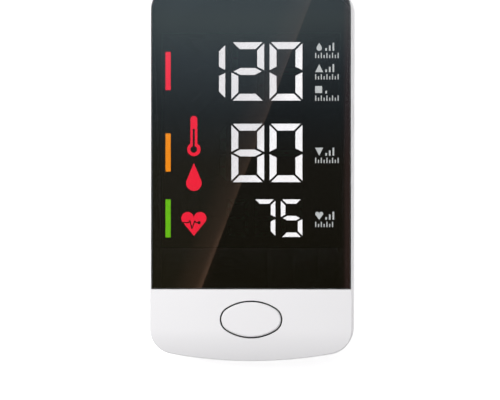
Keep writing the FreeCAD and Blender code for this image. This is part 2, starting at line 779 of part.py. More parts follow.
def leaning_rod(name, u, v, w, radius, length):
    """A cylinder along the face normal, given in the face frame."""
    y, z = face_to_row(dim(v), dim(w))
    return rod(name, u, y, z, radius, length, lean=D.tilt)


def fuse(name, items):
    item = doc.addObject("Part::MultiFuse", name)
    item.Shapes = items
    doc.recompute()
    return item


def cut(name, base, tool):
    item = doc.addObject("Part::Cut", name)
    item.Base = base
    item.Tool = tool
    doc.recompute()
    if item.Shape.Volume > base.Shape.Volume - 1e-6:
        raise RuntimeError("%s cuts nothing" % name)
    return item


def common(name, base, tool):
    item = doc.addObject("Part::Common", name)
    item.Base = base
    item.Tool = tool
    doc.recompute()
    return item


def group(name, items):
    """Separate solids that share one node."""
    item = doc.addObject("Part::Compound", name)
    item.Links = items
    doc.recompute()
    return item


def free_sketch(name, z):
    """A level sketch outside any body, for separate solids."""
    item = doc.addObject("Sketcher::SketchObject", name)
    return lay(item, 0, 0, z)


def extrusion(name, profile, length):
    """Separate solids from the closed loops of a free sketch."""
    item = doc.addObject("Part::Extrusion", name)
    item.Base = profile
    item.DirMode = "Normal"
    bind(item, "LengthFwd", length)
    item.Solid = True
    doc.recompute()
    return item


def hose(name, x, y, z, length, turn=None, lean=None):
    """A piece of hose from a point, along +Z unless turned."""
    wall = rod(name + "_out", x, y, z, D.hose_outer, length, turn, lean)
    bore = rod(name + "_in", x, y, z, D.hose_inner, length, turn, lean)
    return cut(name + "_cut", wall, bore)


# ---------------------------------------------------------------- front case
def make_front_case():
    case = body("front_case_body")
    shell = outline(sketch(case, shift=-D.front_depth))
    pad(case, shell, D.front_depth)

    # the chin rolls off towards the user
    roll = sketch(case, "YZ_Plane")
    reach = D.body_length / 2 + OVER
    run = reach - roll_start
    drop = D.roll_radius - root(D.roll_radius * D.roll_radius - run * run)
    start = V(-roll_start.value, 0, 0)
    end = V(-reach.value, -drop.value, 0)
    corner = V(-reach.value, OVER.value, 0)
    top = V(-roll_start.value, OVER.value, 0)
    angle = math.atan2(D.roll_radius.value - drop.value, -run.value)
    roll.addGeometry([
        arc(-roll_start.value, -D.roll_radius.value, D.roll_radius.value, math.pi / 2, angle),
        Part.LineSegment(end, corner),
        Part.LineSegment(corner, top),
        Part.LineSegment(top, start),
    ], False)
    roll.addConstraint(C("Coincident", 0, 2, 1, 1))
    roll.addConstraint(C("Coincident", 1, 2, 2, 1))
    roll.addConstraint(C("Coincident", 2, 2, 3, 1))
    roll.addConstraint(C("Coincident", 3, 2, 0, 1))
    pin_point(roll, 0, 3, -roll_start, -D.roll_radius)
    pin_point(roll, 3, 2, -roll_start, ZERO)
    measure(roll, "DistanceX", 1, 1, -reach)
    pin_point(roll, 2, 1, -reach, OVER)
    pin_point(roll, 3, 1, -roll_start, OVER)
    pocket(case, roll, D.body_width + OVER * 2, both=True)

    # eased edge all round the face
    lowest = -(chin_drop + OVER).value

    def face_edge(edge):
        box = edge.BoundBox
        across = box.XLength > D.body_width.value - 0.1 and box.YLength < 0.1
        return box.ZMin > lowest and not across
    bevel(case, D.face_ease, face_edge)

    # hollow, from the parting plane up to the face plate
    hollow = outline(sketch(case, shift=-D.front_depth), D.wall)
    pocket(case, hollow, D.front_depth - D.plate, up=True)
    # rebate for the tongue of the rear case
    rebate = outline(sketch(case, shift=-D.front_depth), D.wall - D.lip_width - D.fit_gap)
    pocket(case, rebate, D.lip_height + D.fit_gap, up=True)

    # lens seat, then the window through it
    seat = arch(sketch(case), D.rim, -lens_foot)
    pocket(case, seat, D.lens_thick + D.tape_thick)
    window = sketch(case)
    rectangle(window, -window_half, -window_foot, window_half, window_head)
    pocket(case, window, D.plate + OVER)
    # button hole
    hole = sketch(case, shift=OVER)
    oval(hole, -button_y, D.button_gap)
    pocket(case, hole, D.plate + OVER * 2)

    # posts with pilot holes for the case screws and the board screws
    for x, y in case_screw_places():
        add_post(case, x, y, -D.front_depth, D.post_radius, D.front_depth - D.plate + SUNK)
        cut_post(case, x, y, -D.front_depth - OVER, D.screw_radius + D.thread_gap,
                 D.front_depth + OVER - D.screw_reach + D.tip_room)
    for x, y in board_screw_places():
        add_post(case, x, y, -D.board_top, D.board_post, D.board_top - D.plate + SUNK)
        cut_post(case, x, y, -D.board_top - OVER, D.board_screw + D.thread_gap,
                 D.board_top + OVER - D.board_reach + D.tip_room)
    # recess for the catch on the tongue
    catch_x = D.catch_half + D.fit_gap
    tongue = D.wall - D.lip_width - D.body_length / 2
    low = D.catch_low - D.fit_gap - D.front_depth
    cut_block(case, -catch_x, tongue - D.catch_out - D.fit_gap, low,
              catch_x, tongue + SUNK, low + D.catch_tall + D.fit_gap * 2)

    # test strip slot and power socket opening in the right wall
    inside = D.body_width / 2 - D.wall - SUNK
    outside = D.body_width / 2 + OVER
    cut_block(case, inside, strip_y - D.strip_long / 2, -D.strip_w - D.strip_high / 2,
              outside, strip_y + D.strip_long / 2, -D.strip_w + D.strip_high / 2)
    play = D.power_play
    cut_block(case, inside, D.power_y - D.power_long / 2 - play, -board_under - D.power_high - play,
              outside, D.power_y + D.power_long / 2 + play, -board_under + play)
    return node(on_face(case), "front_case")


# ---------------------------------------------------------------- lens
def make_lens():
    lens = body("lens_body")
    gap = D.rim + D.fit_gap
    pad(lens, arch(sketch(lens, shift=-D.lens_thick), gap, -lens_foot + D.fit_gap), D.lens_thick)
    bevel(lens, D.lens_ease, lambda edge: edge.BoundBox.ZMin > -0.01)
    node(on_face(lens), "display_lens")

    tape = body("tape_body")
    under = -D.lens_thick - D.tape_thick
    step = D.tape_step
    band = arch(sketch(tape, shift=under), gap + step, -lens_foot + D.fit_gap + step)
    # the band is open over the window, and its lip hides the window's edge
    lip = D.tape_lip
    side = window_half - lip
    rectangle(band, -side, lip - window_foot, side, window_head - lip)
    pad(tape, band, D.tape_thick)
    node(on_face(tape), "lens_tape")


# ---------------------------------------------------------------- figures
SEGMENTS_OF = {
    "0": "abcdef", "1": "bc", "2": "abged", "3": "abgcd", "4": "fgbc",
    "5": "afgcd", "6": "afgcde", "7": "abc", "8": "abcdefg", "9": "abcdfg",
}


MITRE = 0.7     # of the gap between strokes, at a mitred corner
KNEE = 0.56     # of the gap between strokes, at the middle bar


def segment_points(letter, right, foot, width, height, bar, grow=0):
    """Corners of one stroke of a seven-segment figure; grow moves its sides out."""
    ease = D.segment_gap * MITRE - grow
    knee = D.segment_gap * KNEE - grow
    x0, x1 = right - width - grow, right + grow
    y0, y1 = foot - grow, foot + height + grow
    thick = bar + 2 * grow
    middle = foot + height / 2
    top = [(x0 + ease, y1), (x1 - ease, y1), (x1 - ease - thick, y1 - thick),
           (x0 + ease + thick, y1 - thick)]
    upper = [(x1, y1 - ease), (x1, middle + knee), (x1 - thick, middle + thick / 2 + knee),
             (x1 - thick, y1 - ease - thick)]
    bridge = [(x0 + ease, middle), (x0 + ease + thick, middle + thick / 2),
              (x1 - ease - thick, middle + thick / 2), (x1 - ease, middle),
              (x1 - ease - thick, middle - thick / 2), (x0 + ease + thick, middle - thick / 2)]

    def left(points):
        return [(x0 + x1 - x, y) for x, y in points]

    def down(points):
        return [(x, middle * 2 - y) for x, y in points]
    shapes = {"a": top, "b": upper, "c": down(upper), "d": down(top),
              "e": down(left(upper)), "f": left(upper), "g": bridge}
    return shapes[letter]


def figure_rows():
    """Figure, its strokes' cells, right edge, foot, width, height and bar of each place.

    The first place of a large row can only show a 1, so it has two cells.
    """
    large = (D.big_width, D.big_height, D.big_bar)
    small = (D.small_width, D.small_height, D.small_bar)
    plan = [("120", "bc", first_row, D.big_pitch, large),
            (" 80", "bc", second_row, D.big_pitch, large),
            (" 75", "abcdefg", third_row, D.small_pitch, small)]
    rows = []
    for text, leading, foot, pitch, sizes in plan:
        for place, figure in enumerate(text):
            cells = leading if place == 0 else "abcdefg"
            rows.append((figure, cells, D.figures_right - pitch * (2 - place), foot) + sizes)
    return rows


def bar_rectangle(item, foot, gap=0):
    return rectangle(item, bar_left + gap, foot + gap,
                     bar_left + D.bar_width - gap, foot + D.bar_height - gap)


def drop_outline(item, gap=0):
    """A drop: a round foot and two straight flanks meeting at the tip."""
    radius = D.drop_radius - gap
    rise = D.drop_tip - gap * 2
    # the flanks touch the round
    lift = radius * radius / rise
    wide = root(radius * radius - lift * lift)
    turn = math.atan2(lift.value, wide.value)
    x, y = mark_x, drop_y
    geo = item.GeometryCount
    item.addGeometry([
        arc(x.value, y.value, radius.value, math.pi - turn, 2 * math.pi + turn),
        Part.LineSegment(V((x + wide).value, (y + lift).value, 0), V(x.value, (y + rise).value, 0)),
        Part.LineSegment(V(x.value, (y + rise).value, 0), V((x - wide).value, (y + lift).value, 0)),
    ], False)
    item.addConstraint(C("Coincident", geo + 1, 2, geo + 2, 1))
    item.addConstraint(C("Tangent", geo, 2, geo + 1, 1))
    item.addConstraint(C("Tangent", geo + 2, 2, geo, 1))
    item.addConstraint(C("Radius", geo, radius.value))
    item.setExpression("Constraints[%d]" % (item.ConstraintCount - 1), radius.text)
    pin_point(item, geo, 3, x, y)
    pin_point(item, geo + 1, 2, x, y + rise)


def heart_outline(item, gap=0):
    """A heart: two lobes, and two flanks that run to the point at the foot."""
    lobe = (D.heart_half - gap) / 2
    x, y = mark_x, heart_top - gap
    foot = heart_foot + gap * 2
    # tangent from the foot point to the right lobe
    away = (y - foot).value
    reach = math.hypot(lobe.value, away)
    lean = -(math.pi - math.atan2(away, lobe.value)) + math.acos(lobe.value / reach)
    tx = x.value + lobe.value * (1 + math.cos(lean))
    ty = y.value + lobe.value * math.sin(lean)
    geo = item.GeometryCount
    item.addGeometry([
        arc((x + lobe).value, y.value, lobe.value, lean, math.pi),
        arc((x - lobe).value, y.value, lobe.value, 0, math.pi - lean),
        Part.LineSegment(V(2 * x.value - tx, ty, 0), V(x.value, foot.value, 0)),
        Part.LineSegment(V(x.value, foot.value, 0), V(tx, ty, 0)),
    ], False)
    item.addConstraint(C("Coincident", geo, 2, geo + 1, 1))
    item.addConstraint(C("Tangent", geo + 1, 2, geo + 2, 1))
    item.addConstraint(C("Coincident", geo + 2, 2, geo + 3, 1))
    item.addConstraint(C("Tangent", geo + 3, 2, geo, 1))
    pin_point(item, geo, 3, x + lobe, y)
    pin_point(item, geo, 2, x, y)
    pin_point(item, geo + 1, 3, x - lobe, y)
    pin_point(item, geo + 3, 1, x, foot)
    return item


def make_display():
    # reflector block with one cell for every stroke and mark
    block_w = window_half - D.window_gap
    foot = -window_foot + D.window_gap
    head = window_head - D.window_gap
    top = -D.lens_thick - D.tape_thick - D.film_drop - D.film_thick
    reflector = body("reflector_body")
    profile = sketch(reflector, shift=-D.board_top)
    rectangle(profile, -block_w, foot, block_w, head)
    pad(reflector, profile, D.board_top + top)
    lit = []
    lamps = []
    lamp_floor = top - D.lamp_sink - D.lamp_depth
    for number, (figure, strokes, right, base, width, height, bar) in enumerate(figure_rows()):
        cells = sketch(reflector, shift=top)
        for letter in strokes:
            points = segment_points(letter, right, base, width, height, bar)
            polygon(cells, points)
            mid_x = (points[0][0] + points[2][0] + points[1][0] + points[3][0]) / 4
            mid_y = (points[0][1] + points[2][1] + points[1][1] + points[3][1]) / 4
            if letter == "g":
                mid_x = (points[0][0] + points[3][0]) / 2
                mid_y = points[0][1]
            lamps.append((mid_x, mid_y))
        pocket(reflector, cells, D.board_top + top + OVER)
        if figure == " ":
            continue
        glow = free_sketch("figure_%d" % number, lamp_floor)
        for letter in SEGMENTS_OF[figure]:
            polygon(glow, segment_points(letter, right, base, width, height, bar, -D.cell_gap))
        lit.append(extrusion("figure_%d_lit" % number, glow, D.lamp_depth))
    node(on_face(group("lit_figures", lit)), "lit_digits")

    # scale bars and coloured marks
    marks = sketch(reflector, shift=top)
    for base in (bar_one, bar_two, bar_three):
        bar_rectangle(marks, base)
        for step in (1, 3, 5):
            lamps.append((bar_left + D.bar_width / 2, base + D.bar_height * step / 6))
    pocket(reflector, marks, D.board_top + top + OVER)
    for base, name in ((bar_two, "orange_bar"), (bar_three, "green_bar")):
        glow = free_sketch(name + "_sketch", lamp_floor)
        bar_rectangle(glow, base, D.cell_gap)
        node(on_face(group(name + "_lit", [extrusion(name + "_solid", glow, D.lamp_depth)])), name)

    signs = sketch(reflector, shift=top)
    drop_outline(signs)
    heart_outline(signs)
    stem_half = D.stem_radius
    join = root(D.bulb_radius * D.bulb_radius - stem_half * stem_half)
    thermometer_outline(signs, stem_half, D.bulb_radius, join, stem_top)
    pocket(reflector, signs, D.board_top + top + OVER)
    red = []
    for name, draw in (("red_bar", lambda s: bar_rectangle(s, bar_one, D.cell_gap)),
                       ("drop", lambda s: drop_outline(s, D.cell_gap)),
                       ("heart", lambda s: heart_outline(s, D.cell_gap))):
        glow = free_sketch(name + "_sketch", lamp_floor)
        draw(glow)
        red.append(extrusion(name + "_solid", glow, D.lamp_depth))
    glow = free_sketch("thermometer_sketch", lamp_floor)
    thin = stem_half - D.cell_gap
    bulb = D.bulb_radius - D.cell_gap
    thermometer_outline(glow, thin, bulb, root(bulb * bulb - thin * thin), stem_top - D.cell_gap)
    red.append(extrusion("thermometer_solid", glow, D.lamp_depth))
    node(on_face(group("red_marks", red)), "red_icons")
    for y in (stem_top - D.stem_radius * 2, bulb_y, drop_y, heart_top - D.heart_half / 2):
        lamps.append((mark_x, y))
    node(on_face(reflector), "display_reflector")

    film = body("film_body")
    sheet_sketch = sketch(film, shift=top)
    rectangle(sheet_sketch, -block_w, foot, block_w, head)
    pad(film, sheet_sketch, D.film_thick)
    node(on_face(film), "display_film")

    chips = []
    half = D.chip_lamp / 2
    for x, y in lamps:
        chips.append(block("lamp", x - half, y - half / 2, -D.board_top, x + half, y + half / 2,
                           -D.board_top + D.chip_tall))
    node(on_face(group("lamps", chips)), "led_chips")


def thermometer_outline(item, half, bulb, join, top):
    """A stem with a round top that runs into a round bulb."""
    x, y = mark_x, bulb_y
    neck = y + join
    crown = top - half
    turn = math.atan2(join.value, half.value)
    geo = item.GeometryCount
    item.addGeometry([
        Part.LineSegment(V((x + half).value, neck.value, 0), V((x + half).value, crown.value, 0)),
        arc(x.value, crown.value, half.value, 0, math.pi),
        Part.LineSegment(V((x - half).value, crown.value, 0), V((x - half).value, neck.value, 0)),
        arc(x.value, y.value, bulb.value, math.pi - turn, 2 * math.pi + turn),
    ], False)
    for k in range(4):
        item.addConstraint(C("Coincident", geo + k, 2, geo + (k + 1) % 4, 1))
    item.addConstraint(C("Vertical", geo))
    item.addConstraint(C("Vertical", geo + 2))
    pin_point(item, geo, 2, x + half, crown)
    pin_point(item, geo + 1, 3, x, crown)
    measure(item, "DistanceY", geo + 2, 1, crown)
    pin_point(item, geo + 3, 3, x, y)
    item.addConstraint(C("Radius", geo + 3, bulb.value))
    item.setExpression("Constraints[%d]" % (item.ConstraintCount - 1), bulb.text)


# ---------------------------------------------------------------- board
def make_board():
    board = body("board_body")
    profile = sketch(board, shift=-board_under)
    polygon(profile, [
        (-board_half, board_head), (-board_half, -board_wide),
        (-board_neck, -board_wide), (-board_neck, -board_foot),
        (board_neck, -board_foot), (board_neck, -board_wide),
        (board_half, -board_wide), (board_half, board_head)])
    for x, y in board_screw_places():
        circle(profile, x, y, D.board_screw + D.thread_gap)
    pad(board, profile, D.board_thick)
    node(on_face(board), "main_board")

    # chips on the underside: controller, two drivers, memory, crystal, regulator;
    # each by its middle, and its width and length as parts of the controller's side
    side, u, v = D.chip_side, D.chip_u, D.chip_v
    chips = []
    for x, y, wide, long in ((ZERO, side * 0.4, 1.0, 1.0), (u, -v, 0.6, 0.5), (-u, -v, 0.8, 0.6),
                             (-u, v * -0.2, 0.5, 0.4), (u * 0.75, v * -0.27, 0.32, 0.5),
                             (u * -0.25, v * -1.07, 0.4, 0.4)):
        chips.append(block("chip", x - side * wide / 2, y - side * long / 2, -board_under - D.chip_thick,
                           x + side * wide / 2, y + side * long / 2, -board_under))
    node(on_face(group("chips", chips)), "board_chips")

    screws = []
    for x, y in board_screw_places():
        shank = rod("shank", x, y, -board_under - SUNK, D.board_screw,
                    board_under + SUNK - D.board_reach)
        head = rod("head", x, y, -board_under - D.head_thick, D.board_head, D.head_thick)
        screws.append(fuse("board_screw", [shank, head]))
    node(on_face(group("small_screws", screws)), "board_screws")

    # buzzer can
    low = -board_under - D.buzzer_tall
    can = rod("buzzer_can", D.buzzer_x, D.buzzer_v, low, D.buzzer_radius, D.buzzer_tall)
    node(on_face(group("buzzer_group", [can])), "buzzer")

    # test strip connector above the board, behind its slot
    inner = D.body_width / 2 - D.wall
    half = D.strip_long / 2
    play = D.fit_gap * 3
    housing = block("strip_housing", inner - D.strip_deep, strip_y - half - D.strip_wall, -D.board_top,
                    inner - play, strip_y + half + D.strip_wall,
                    -D.strip_w + D.strip_high / 2 + D.strip_wall)
    throat = block("strip_throat", inner - D.strip_throat, strip_y - half + play,
                   -D.strip_w - D.strip_high / 2 + D.fit_gap * 2, inner,
                   strip_y + half - play, -D.strip_w + D.strip_high / 2 - D.fit_gap * 2)
    node(on_face(cut("strip_cut", housing, throat)), "strip_connector")

    # power socket under the board: a flat shell with a tongue
    half = D.power_long / 2
    high = D.power_high
    mouth = D.body_width / 2 - D.power_inset
    shell = body("power_body")
    section = sketch(shell, "YZ_Plane", mouth - D.power_deep)
    rectangle(section, D.power_y - half, -board_under - high, D.power_y + half, -board_under)
    pad(shell, section, D.power_deep)
    deep = D.power_deep.value

    def long_edge(edge):
        return edge.BoundBox.XLength > deep - 0.1
    soften(shell, D.power_round, long_edge)
    bore = sketch(shell, "YZ_Plane", mouth)
    middle = -board_under - high / 2
    mouth_half, tongue_half = half - D.power_mouth_in, half - D.power_tongue_in
    rectangle(bore, D.power_y - mouth_half, middle - high / 2 + D.power_wall,
              D.power_y + mouth_half, middle + high / 2 - D.power_wall)
    rectangle(bore, D.power_y - tongue_half, middle - D.power_wall,
              D.power_y + tongue_half, middle + D.power_wall)
    pocket(shell, bore, D.power_bore)
    node(on_face(shell), "power_socket")

    # pressure sensor under the board, its spigot pointing down at the manifold's
    v, w = row_to_face(tee_y, D.air_z)
    x, half = tee_x, D.sensor_half
    low = -board_under - D.sensor_tall
    tip = w + tee_reach + D.spigot_space / 2
    frame = block("sensor_block", x - half, v - half, low, x + half, v + half, -board_under)
    nose = rod("sensor_nose", x, v, tip, D.spigot, low + D.sensor_tall / 2 - tip)
    node(on_face(fuse("sensor_fuse", [frame, nose])), "pressure_sensor")


# ---------------------------------------------------------------- start button
def make_button():
    cap = body("button_body")
    under = D.plate + D.flange_gap
    sole = sketch(cap, shift=-under)
    oval(sole, -button_y)
    pad(cap, sole, under + D.button_proud)
    bevel(cap, D.button_ease, lambda edge: edge.BoundBox.ZMin > 0)
    flange = sketch(cap, shift=-under - D.flange_thick)
    across = D.button_long + D.flange_extra
    along = D.button_wide + D.flange_extra
    rectangle(flange, -across, -button_y - along, across, -button_y + along)
    pad(cap, flange, D.flange_thick)
    node(on_face(cap), "start_button")

    # silicone switch mat with its key under the button
    mat = body("pad_body")
    base = sketch(mat, shift=-D.board_top)
    across = across + D.pad_edge
    along = along + D.pad_edge / 4
    rectangle(base, -across, -button_y - along, across, -button_y + along)
    pad(mat, base, D.pad_thick)
    rise = D.board_top - under - D.flange_thick - D.pad_thick - D.pad_play
    add_post(mat, 0, -button_y, -D.board_top, D.pad_radius, D.pad_thick + rise)
    node(on_face(mat), "button_pad")


# ---------------------------------------------------------------- rear case
def solid_outline(name, inset, bottom):
    """The outline carried down from the parting plane to a level bottom."""
    owner = body(name)
    rim = outline(leaning_sketch(owner, D.front_depth), inset)
    far = D.body_length
    pad(owner, rim, far, back=True)
    level = sketch(owner, shift=bottom)
    rectangle(level, -far, -far, far, far)
    pocket(owner, level, far)
    return owner


def case_screw_places():
    """Middles of the two case screws, at the far end."""
    return [(-post_x, post_y), (post_x, post_y)]


def board_screw_places():
    """Middles of the two board screws, at opposite corners."""
    return [(-board_post_x, -board_post_low), (board_post_x, board_post_head)]


def foot_pads(name, grow, low, length):
    """The four feet as square pads with cut corners, or the recesses for them."""
    profile = free_sketch(name + "_sketch", low)
    half, cut_off = D.foot_half + grow, D.foot_cut
    short = half - cut_off
    for x in (-foot_x, foot_x):
        for y in (D.foot_front_in - D.body_length / 2, D.body_length / 2 - D.foot_back_in):
            polygon(profile, [(x - half, y - short), (x - short, y - half), (x + short, y - half),
                              (x + half, y - short), (x + half, y + short), (x + short, y + half),
                              (x - short, y + half), (x - half, y + short)])
    return extrusion(name, profile, length)


def bay_cell_x():
    """Middles of the four cells."""
    return [D.cell_pitch * k for k in (-1.5, -0.5, 0.5, 1.5)]


GRIP_COUNT = 6


def door_section(owner, gap, deep):
    """T-shaped section of the battery door, or of its slot with a gap round it."""
    section = sketch(owner, "XZ_Plane", -deep)
    low = ZERO
    wing = door_half + gap
    tip = door_half + D.door_tongue + gap
    ledge = D.base_height + D.door_skin - gap
    top = floor_z + gap
    polygon(section, [(-wing, low), (wing, low), (wing, ledge), (tip, ledge), (tip, top),
                      (-tip, top), (-tip, ledge), (-wing, ledge)])
    return section


def make_rear_case():
    envelope = solid_outline("rear_envelope", ZERO, D.base_height)
    base_level = D.base_height.value
    bevel(envelope, D.base_chamfer, lambda edge: edge.BoundBox.ZMax < base_level + 0.01)
    cavity = solid_outline("rear_cavity", D.wall, floor_z)
    shell = cut("rear_shell", envelope, cavity)

    # everything that stands up from the floor
    lip = body("lip_body")
    ring = leaning_sketch(lip, D.front_depth + OVER)
    outline(ring, D.wall - D.lip_width)
    outline(ring, D.wall)
    pad(lip, ring, D.lip_height + OVER)
    # catch on the near end of the tongue
    nib = body("catch_body")
    profile = leaning_sketch(nib, D.front_depth - D.catch_low)
    tongue = D.wall - D.lip_width - D.body_length / 2
    rectangle(profile, -D.catch_half, tongue - D.catch_out, D.catch_half, tongue + SUNK)
    pad(nib, profile, D.catch_tall)

    reach = D.face_height
    bosses = [leaning_rod("boss", x, y, -D.front_depth - reach, D.post_radius + D.boss_wall, reach)
              for x, y in case_screw_places()]

    half = bay_half
    roof = cell_z + D.cell_radius + D.cell_space + D.bay_roof
    bay = block("bay_outer", -half - D.bay_wall, bay_foot - D.bay_wall, D.base_height,
                half + D.bay_wall, bay_head + D.bay_wall, roof)
    rail = door_half + D.door_tongue + D.door_gap + D.rail_wall
    rails = block("bay_rails", -rail, -D.body_length / 2, D.base_height,
                  rail, bay_head + D.door_end + D.rail_wall, floor_z + D.rail_wall)

    # motor saddles, and shelves under the pump head, the valve and the manifold
    saddles = []
    arm, thick = D.saddle_half, D.saddle_thick
    for x in (motor_start + thick * 2, motor_start + D.motor_length - thick * 3):
        saddles.append(block("saddle", x, pump_y - arm, D.base_height, x + thick, pump_y + arm,
                             pump_z - D.saddle_low))
    under = pump_z - D.head_side / 2
    arm = D.head_side / 2 - D.shelf_in
    saddles.append(block("head_shelf", head_start, pump_y - arm, D.base_height,
                         motor_start - thick, pump_y + arm, under))
    arm = D.valve_side / 2 - D.shelf_in
    saddles.append(block("valve_shelf", valve_start, tee_y - arm, D.base_height,
                         valve_start + D.seat_length + D.yoke_length - D.shelf_in, tee_y + arm,
                         D.air_z - D.valve_side / 2))
    arm = D.tee_half - D.shelf_in
    saddles.append(block("tee_shelf", tee_x - arm, tee_y - arm, D.base_height,
                         tee_x + arm, tee_y + arm, D.air_z - D.tee_half))
    upright = fuse("rear_upright", bosses + [bay, rails] + saddles)
    inside = common("rear_inside", upright, envelope)
    whole = fuse("rear_whole", [shell, inside, lip, nib])

    # what is cut away
    tools = []
    deep = D.face_height * 2
    for x, y in case_screw_places():
        tools.append(leaning_rod("well", x, y, -deep, D.screw_head + D.fit_gap * 3,
                                 deep - D.screw_seat))
        tools.append(leaning_rod("way", x, y, -D.screw_seat - OVER, D.screw_radius + D.fit_gap,
                                 D.screw_seat + OVER))
    tools.append(block("bay_inner", -half, bay_foot, D.base_height - OVER, half, bay_head,
                       roof - D.bay_roof))
    slot = body("door_slot")
    pad(slot, door_section(slot, D.door_gap, bay_head + D.door_end), D.body_length)
    tools.append(slot)
    tools.append(foot_pads("foot_recesses", D.fit_gap, D.base_height - OVER, D.foot_recess + OVER))
    tools.append(rod("motor_bed", motor_start, pump_y, pump_z, D.motor_radius + D.fit_gap,
                     D.motor_length, ALONG_X))
    side = D.body_width / 2
    tools.append(rod("socket_way", -side - OVER, tee_y, D.air_z, D.socket_barrel + D.fit_gap,
                     D.wall + OVER * 2, ALONG_X))
    tools.append(rod("socket_step", -side - OVER, tee_y, D.air_z, D.socket_flange + D.fit_gap,
                     D.socket_inset + OVER, ALONG_X))
    # notch of the tongue behind the power socket
    long = D.power_long + D.power_play * 4
    across = D.wall * 1.5
    notch_y, notch_z = face_to_row(D.power_y - long / 2, -D.front_depth)
    notch = block("lip_notch", 0, 0, 0, across, long, D.lip_height * 2)
    tools.append(lay(notch, side - across, notch_y, notch_z, lean=D.tilt))
    # sound slots under the buzzer
    sound_y = face_to_row(D.buzzer_v, -board_under)[0]
    for line in (-1.5, -0.5, 0.5, 1.5):
        low = sound_y + D.sound_pitch * line
        tools.append(block("sound_slot", D.buzzer_x - D.sound_long / 2, low - D.sound_wide / 2, ZERO,
                           D.buzzer_x + D.sound_long / 2, low + D.sound_wide / 2, floor_z + OVER))
    # shadow gap along the parting plane
    seam = body("seam_body")
    ring = leaning_sketch(seam, D.front_depth + D.seam_depth)
    outline(ring, -D.seam_width)
    outline(ring, D.seam_width)
    pad(seam, ring, D.seam_depth * 2)
    tools.append(seam)
    removed = fuse("rear_removed", tools)
    node(cut("rear_case_solid", whole, removed), "rear_case")

    # battery door: the same outer form, running in the slot
    section = body("door_prism")
    pad(section, door_section(section, ZERO, bay_head + D.door_end - D.door_gap), D.body_length)
    plate = common("door_plate", envelope, section)
    grips = []
    groove, half = D.base_height + D.grip_depth, D.grip_half
    for k in range(GRIP_COUNT):
        y = bay_foot + D.grip_in + D.grip_pitch * k
        grips.append(block("grip", -half, y, ZERO, half, y + D.grip_pitch / 2, groove))
    arrow = body("arrow_body")
    mark = sketch(arrow)
    tip = bay_foot + D.arrow_in
    polygon(mark, [(0, tip), (D.arrow_half, tip + D.arrow_half), (-D.arrow_half, tip + D.arrow_half)])
    pad(arrow, mark, groove)
    grips.append(arrow)
    node(cut("door_solid", plate, fuse("door_grips", grips)), "battery_door")


def make_cells():
    cells = []
    gap = D.contact_room
    for k, x in enumerate(bay_cell_x()):
        way = 1 if k % 2 == 0 else -1
        cell = body("cell_%d" % k)
        profile = sketch(cell, "XY_Plane")
        can = D.cell_length - D.nub_length
        polygon(profile, [(0, 0), (D.cell_length, 0), (D.cell_length, D.nub_radius),
                          (can, D.nub_radius), (can, D.cell_radius), (0, D.cell_radius)])
        spin(cell, profile)
        if way > 0:
            lay(cell, x, bay_foot + gap, cell_z, turn=((0, 0, 1), 90))
        else:
            lay(cell, x, bay_head - gap, cell_z, turn=((0, 0, 1), -90))
        cells.append(cell)
    node(group("cells", cells), "battery_cells")

    # stamped contacts: a plate on each end wall with a sprung leaf
    for end, wall_y, way, pairs in (("far", bay_head, -1, [(0, 1), (2, 3)]),
                                    ("near", bay_foot, 1, [(0, 0), (1, 2), (3, 3)])):
        strips = []
        xs = bay_cell_x()
        for first, last in pairs:
            x0 = xs[first] - D.leaf_width / 2
            x1 = xs[last] + D.leaf_width / 2
            y0, y1 = wall_y, wall_y + D.leaf_thick * way
            low, high = (y0, y1) if way > 0 else (y1, y0)
            foot_z, head_z = cell_z - D.leaf_width / 2, cell_z + D.leaf_width / 2
            pieces = [block("strip", x0, low, foot_z, x1, high, cell_z + D.leaf_thick)]
            for k in range(first, last + 1):
                tab = D.leaf_width / 2
                pieces.append(block("tab", xs[k] - tab, low, foot_z, xs[k] + tab, high, head_z))
                # leaf that leans from the foot of the plate out to the cell
                leaf = body("leaf")
                profile = sketch(leaf, "YZ_Plane", xs[k] - D.leaf_half)
                thick = D.leaf_thick * way
                tip = wall_y + (gap - D.cell_gap) * way
                foot = wall_y + thick
                mid, top = cell_z + D.leaf_thick / 2, cell_z + D.leaf_width / 4
                polygon(profile, [(foot, foot_z), (foot, foot_z + D.leaf_thick * 1.5),
                                  (tip - thick, mid), (tip - thick, top), (tip, top),
                                  (tip, mid - D.leaf_thick), (foot + thick, foot_z)])
                pad(leaf, profile, D.leaf_half * 2)
                pieces.append(leaf)
            strips.append(fuse("contact", pieces))
        node(group("contacts_" + end, strips), "contacts_" + end)


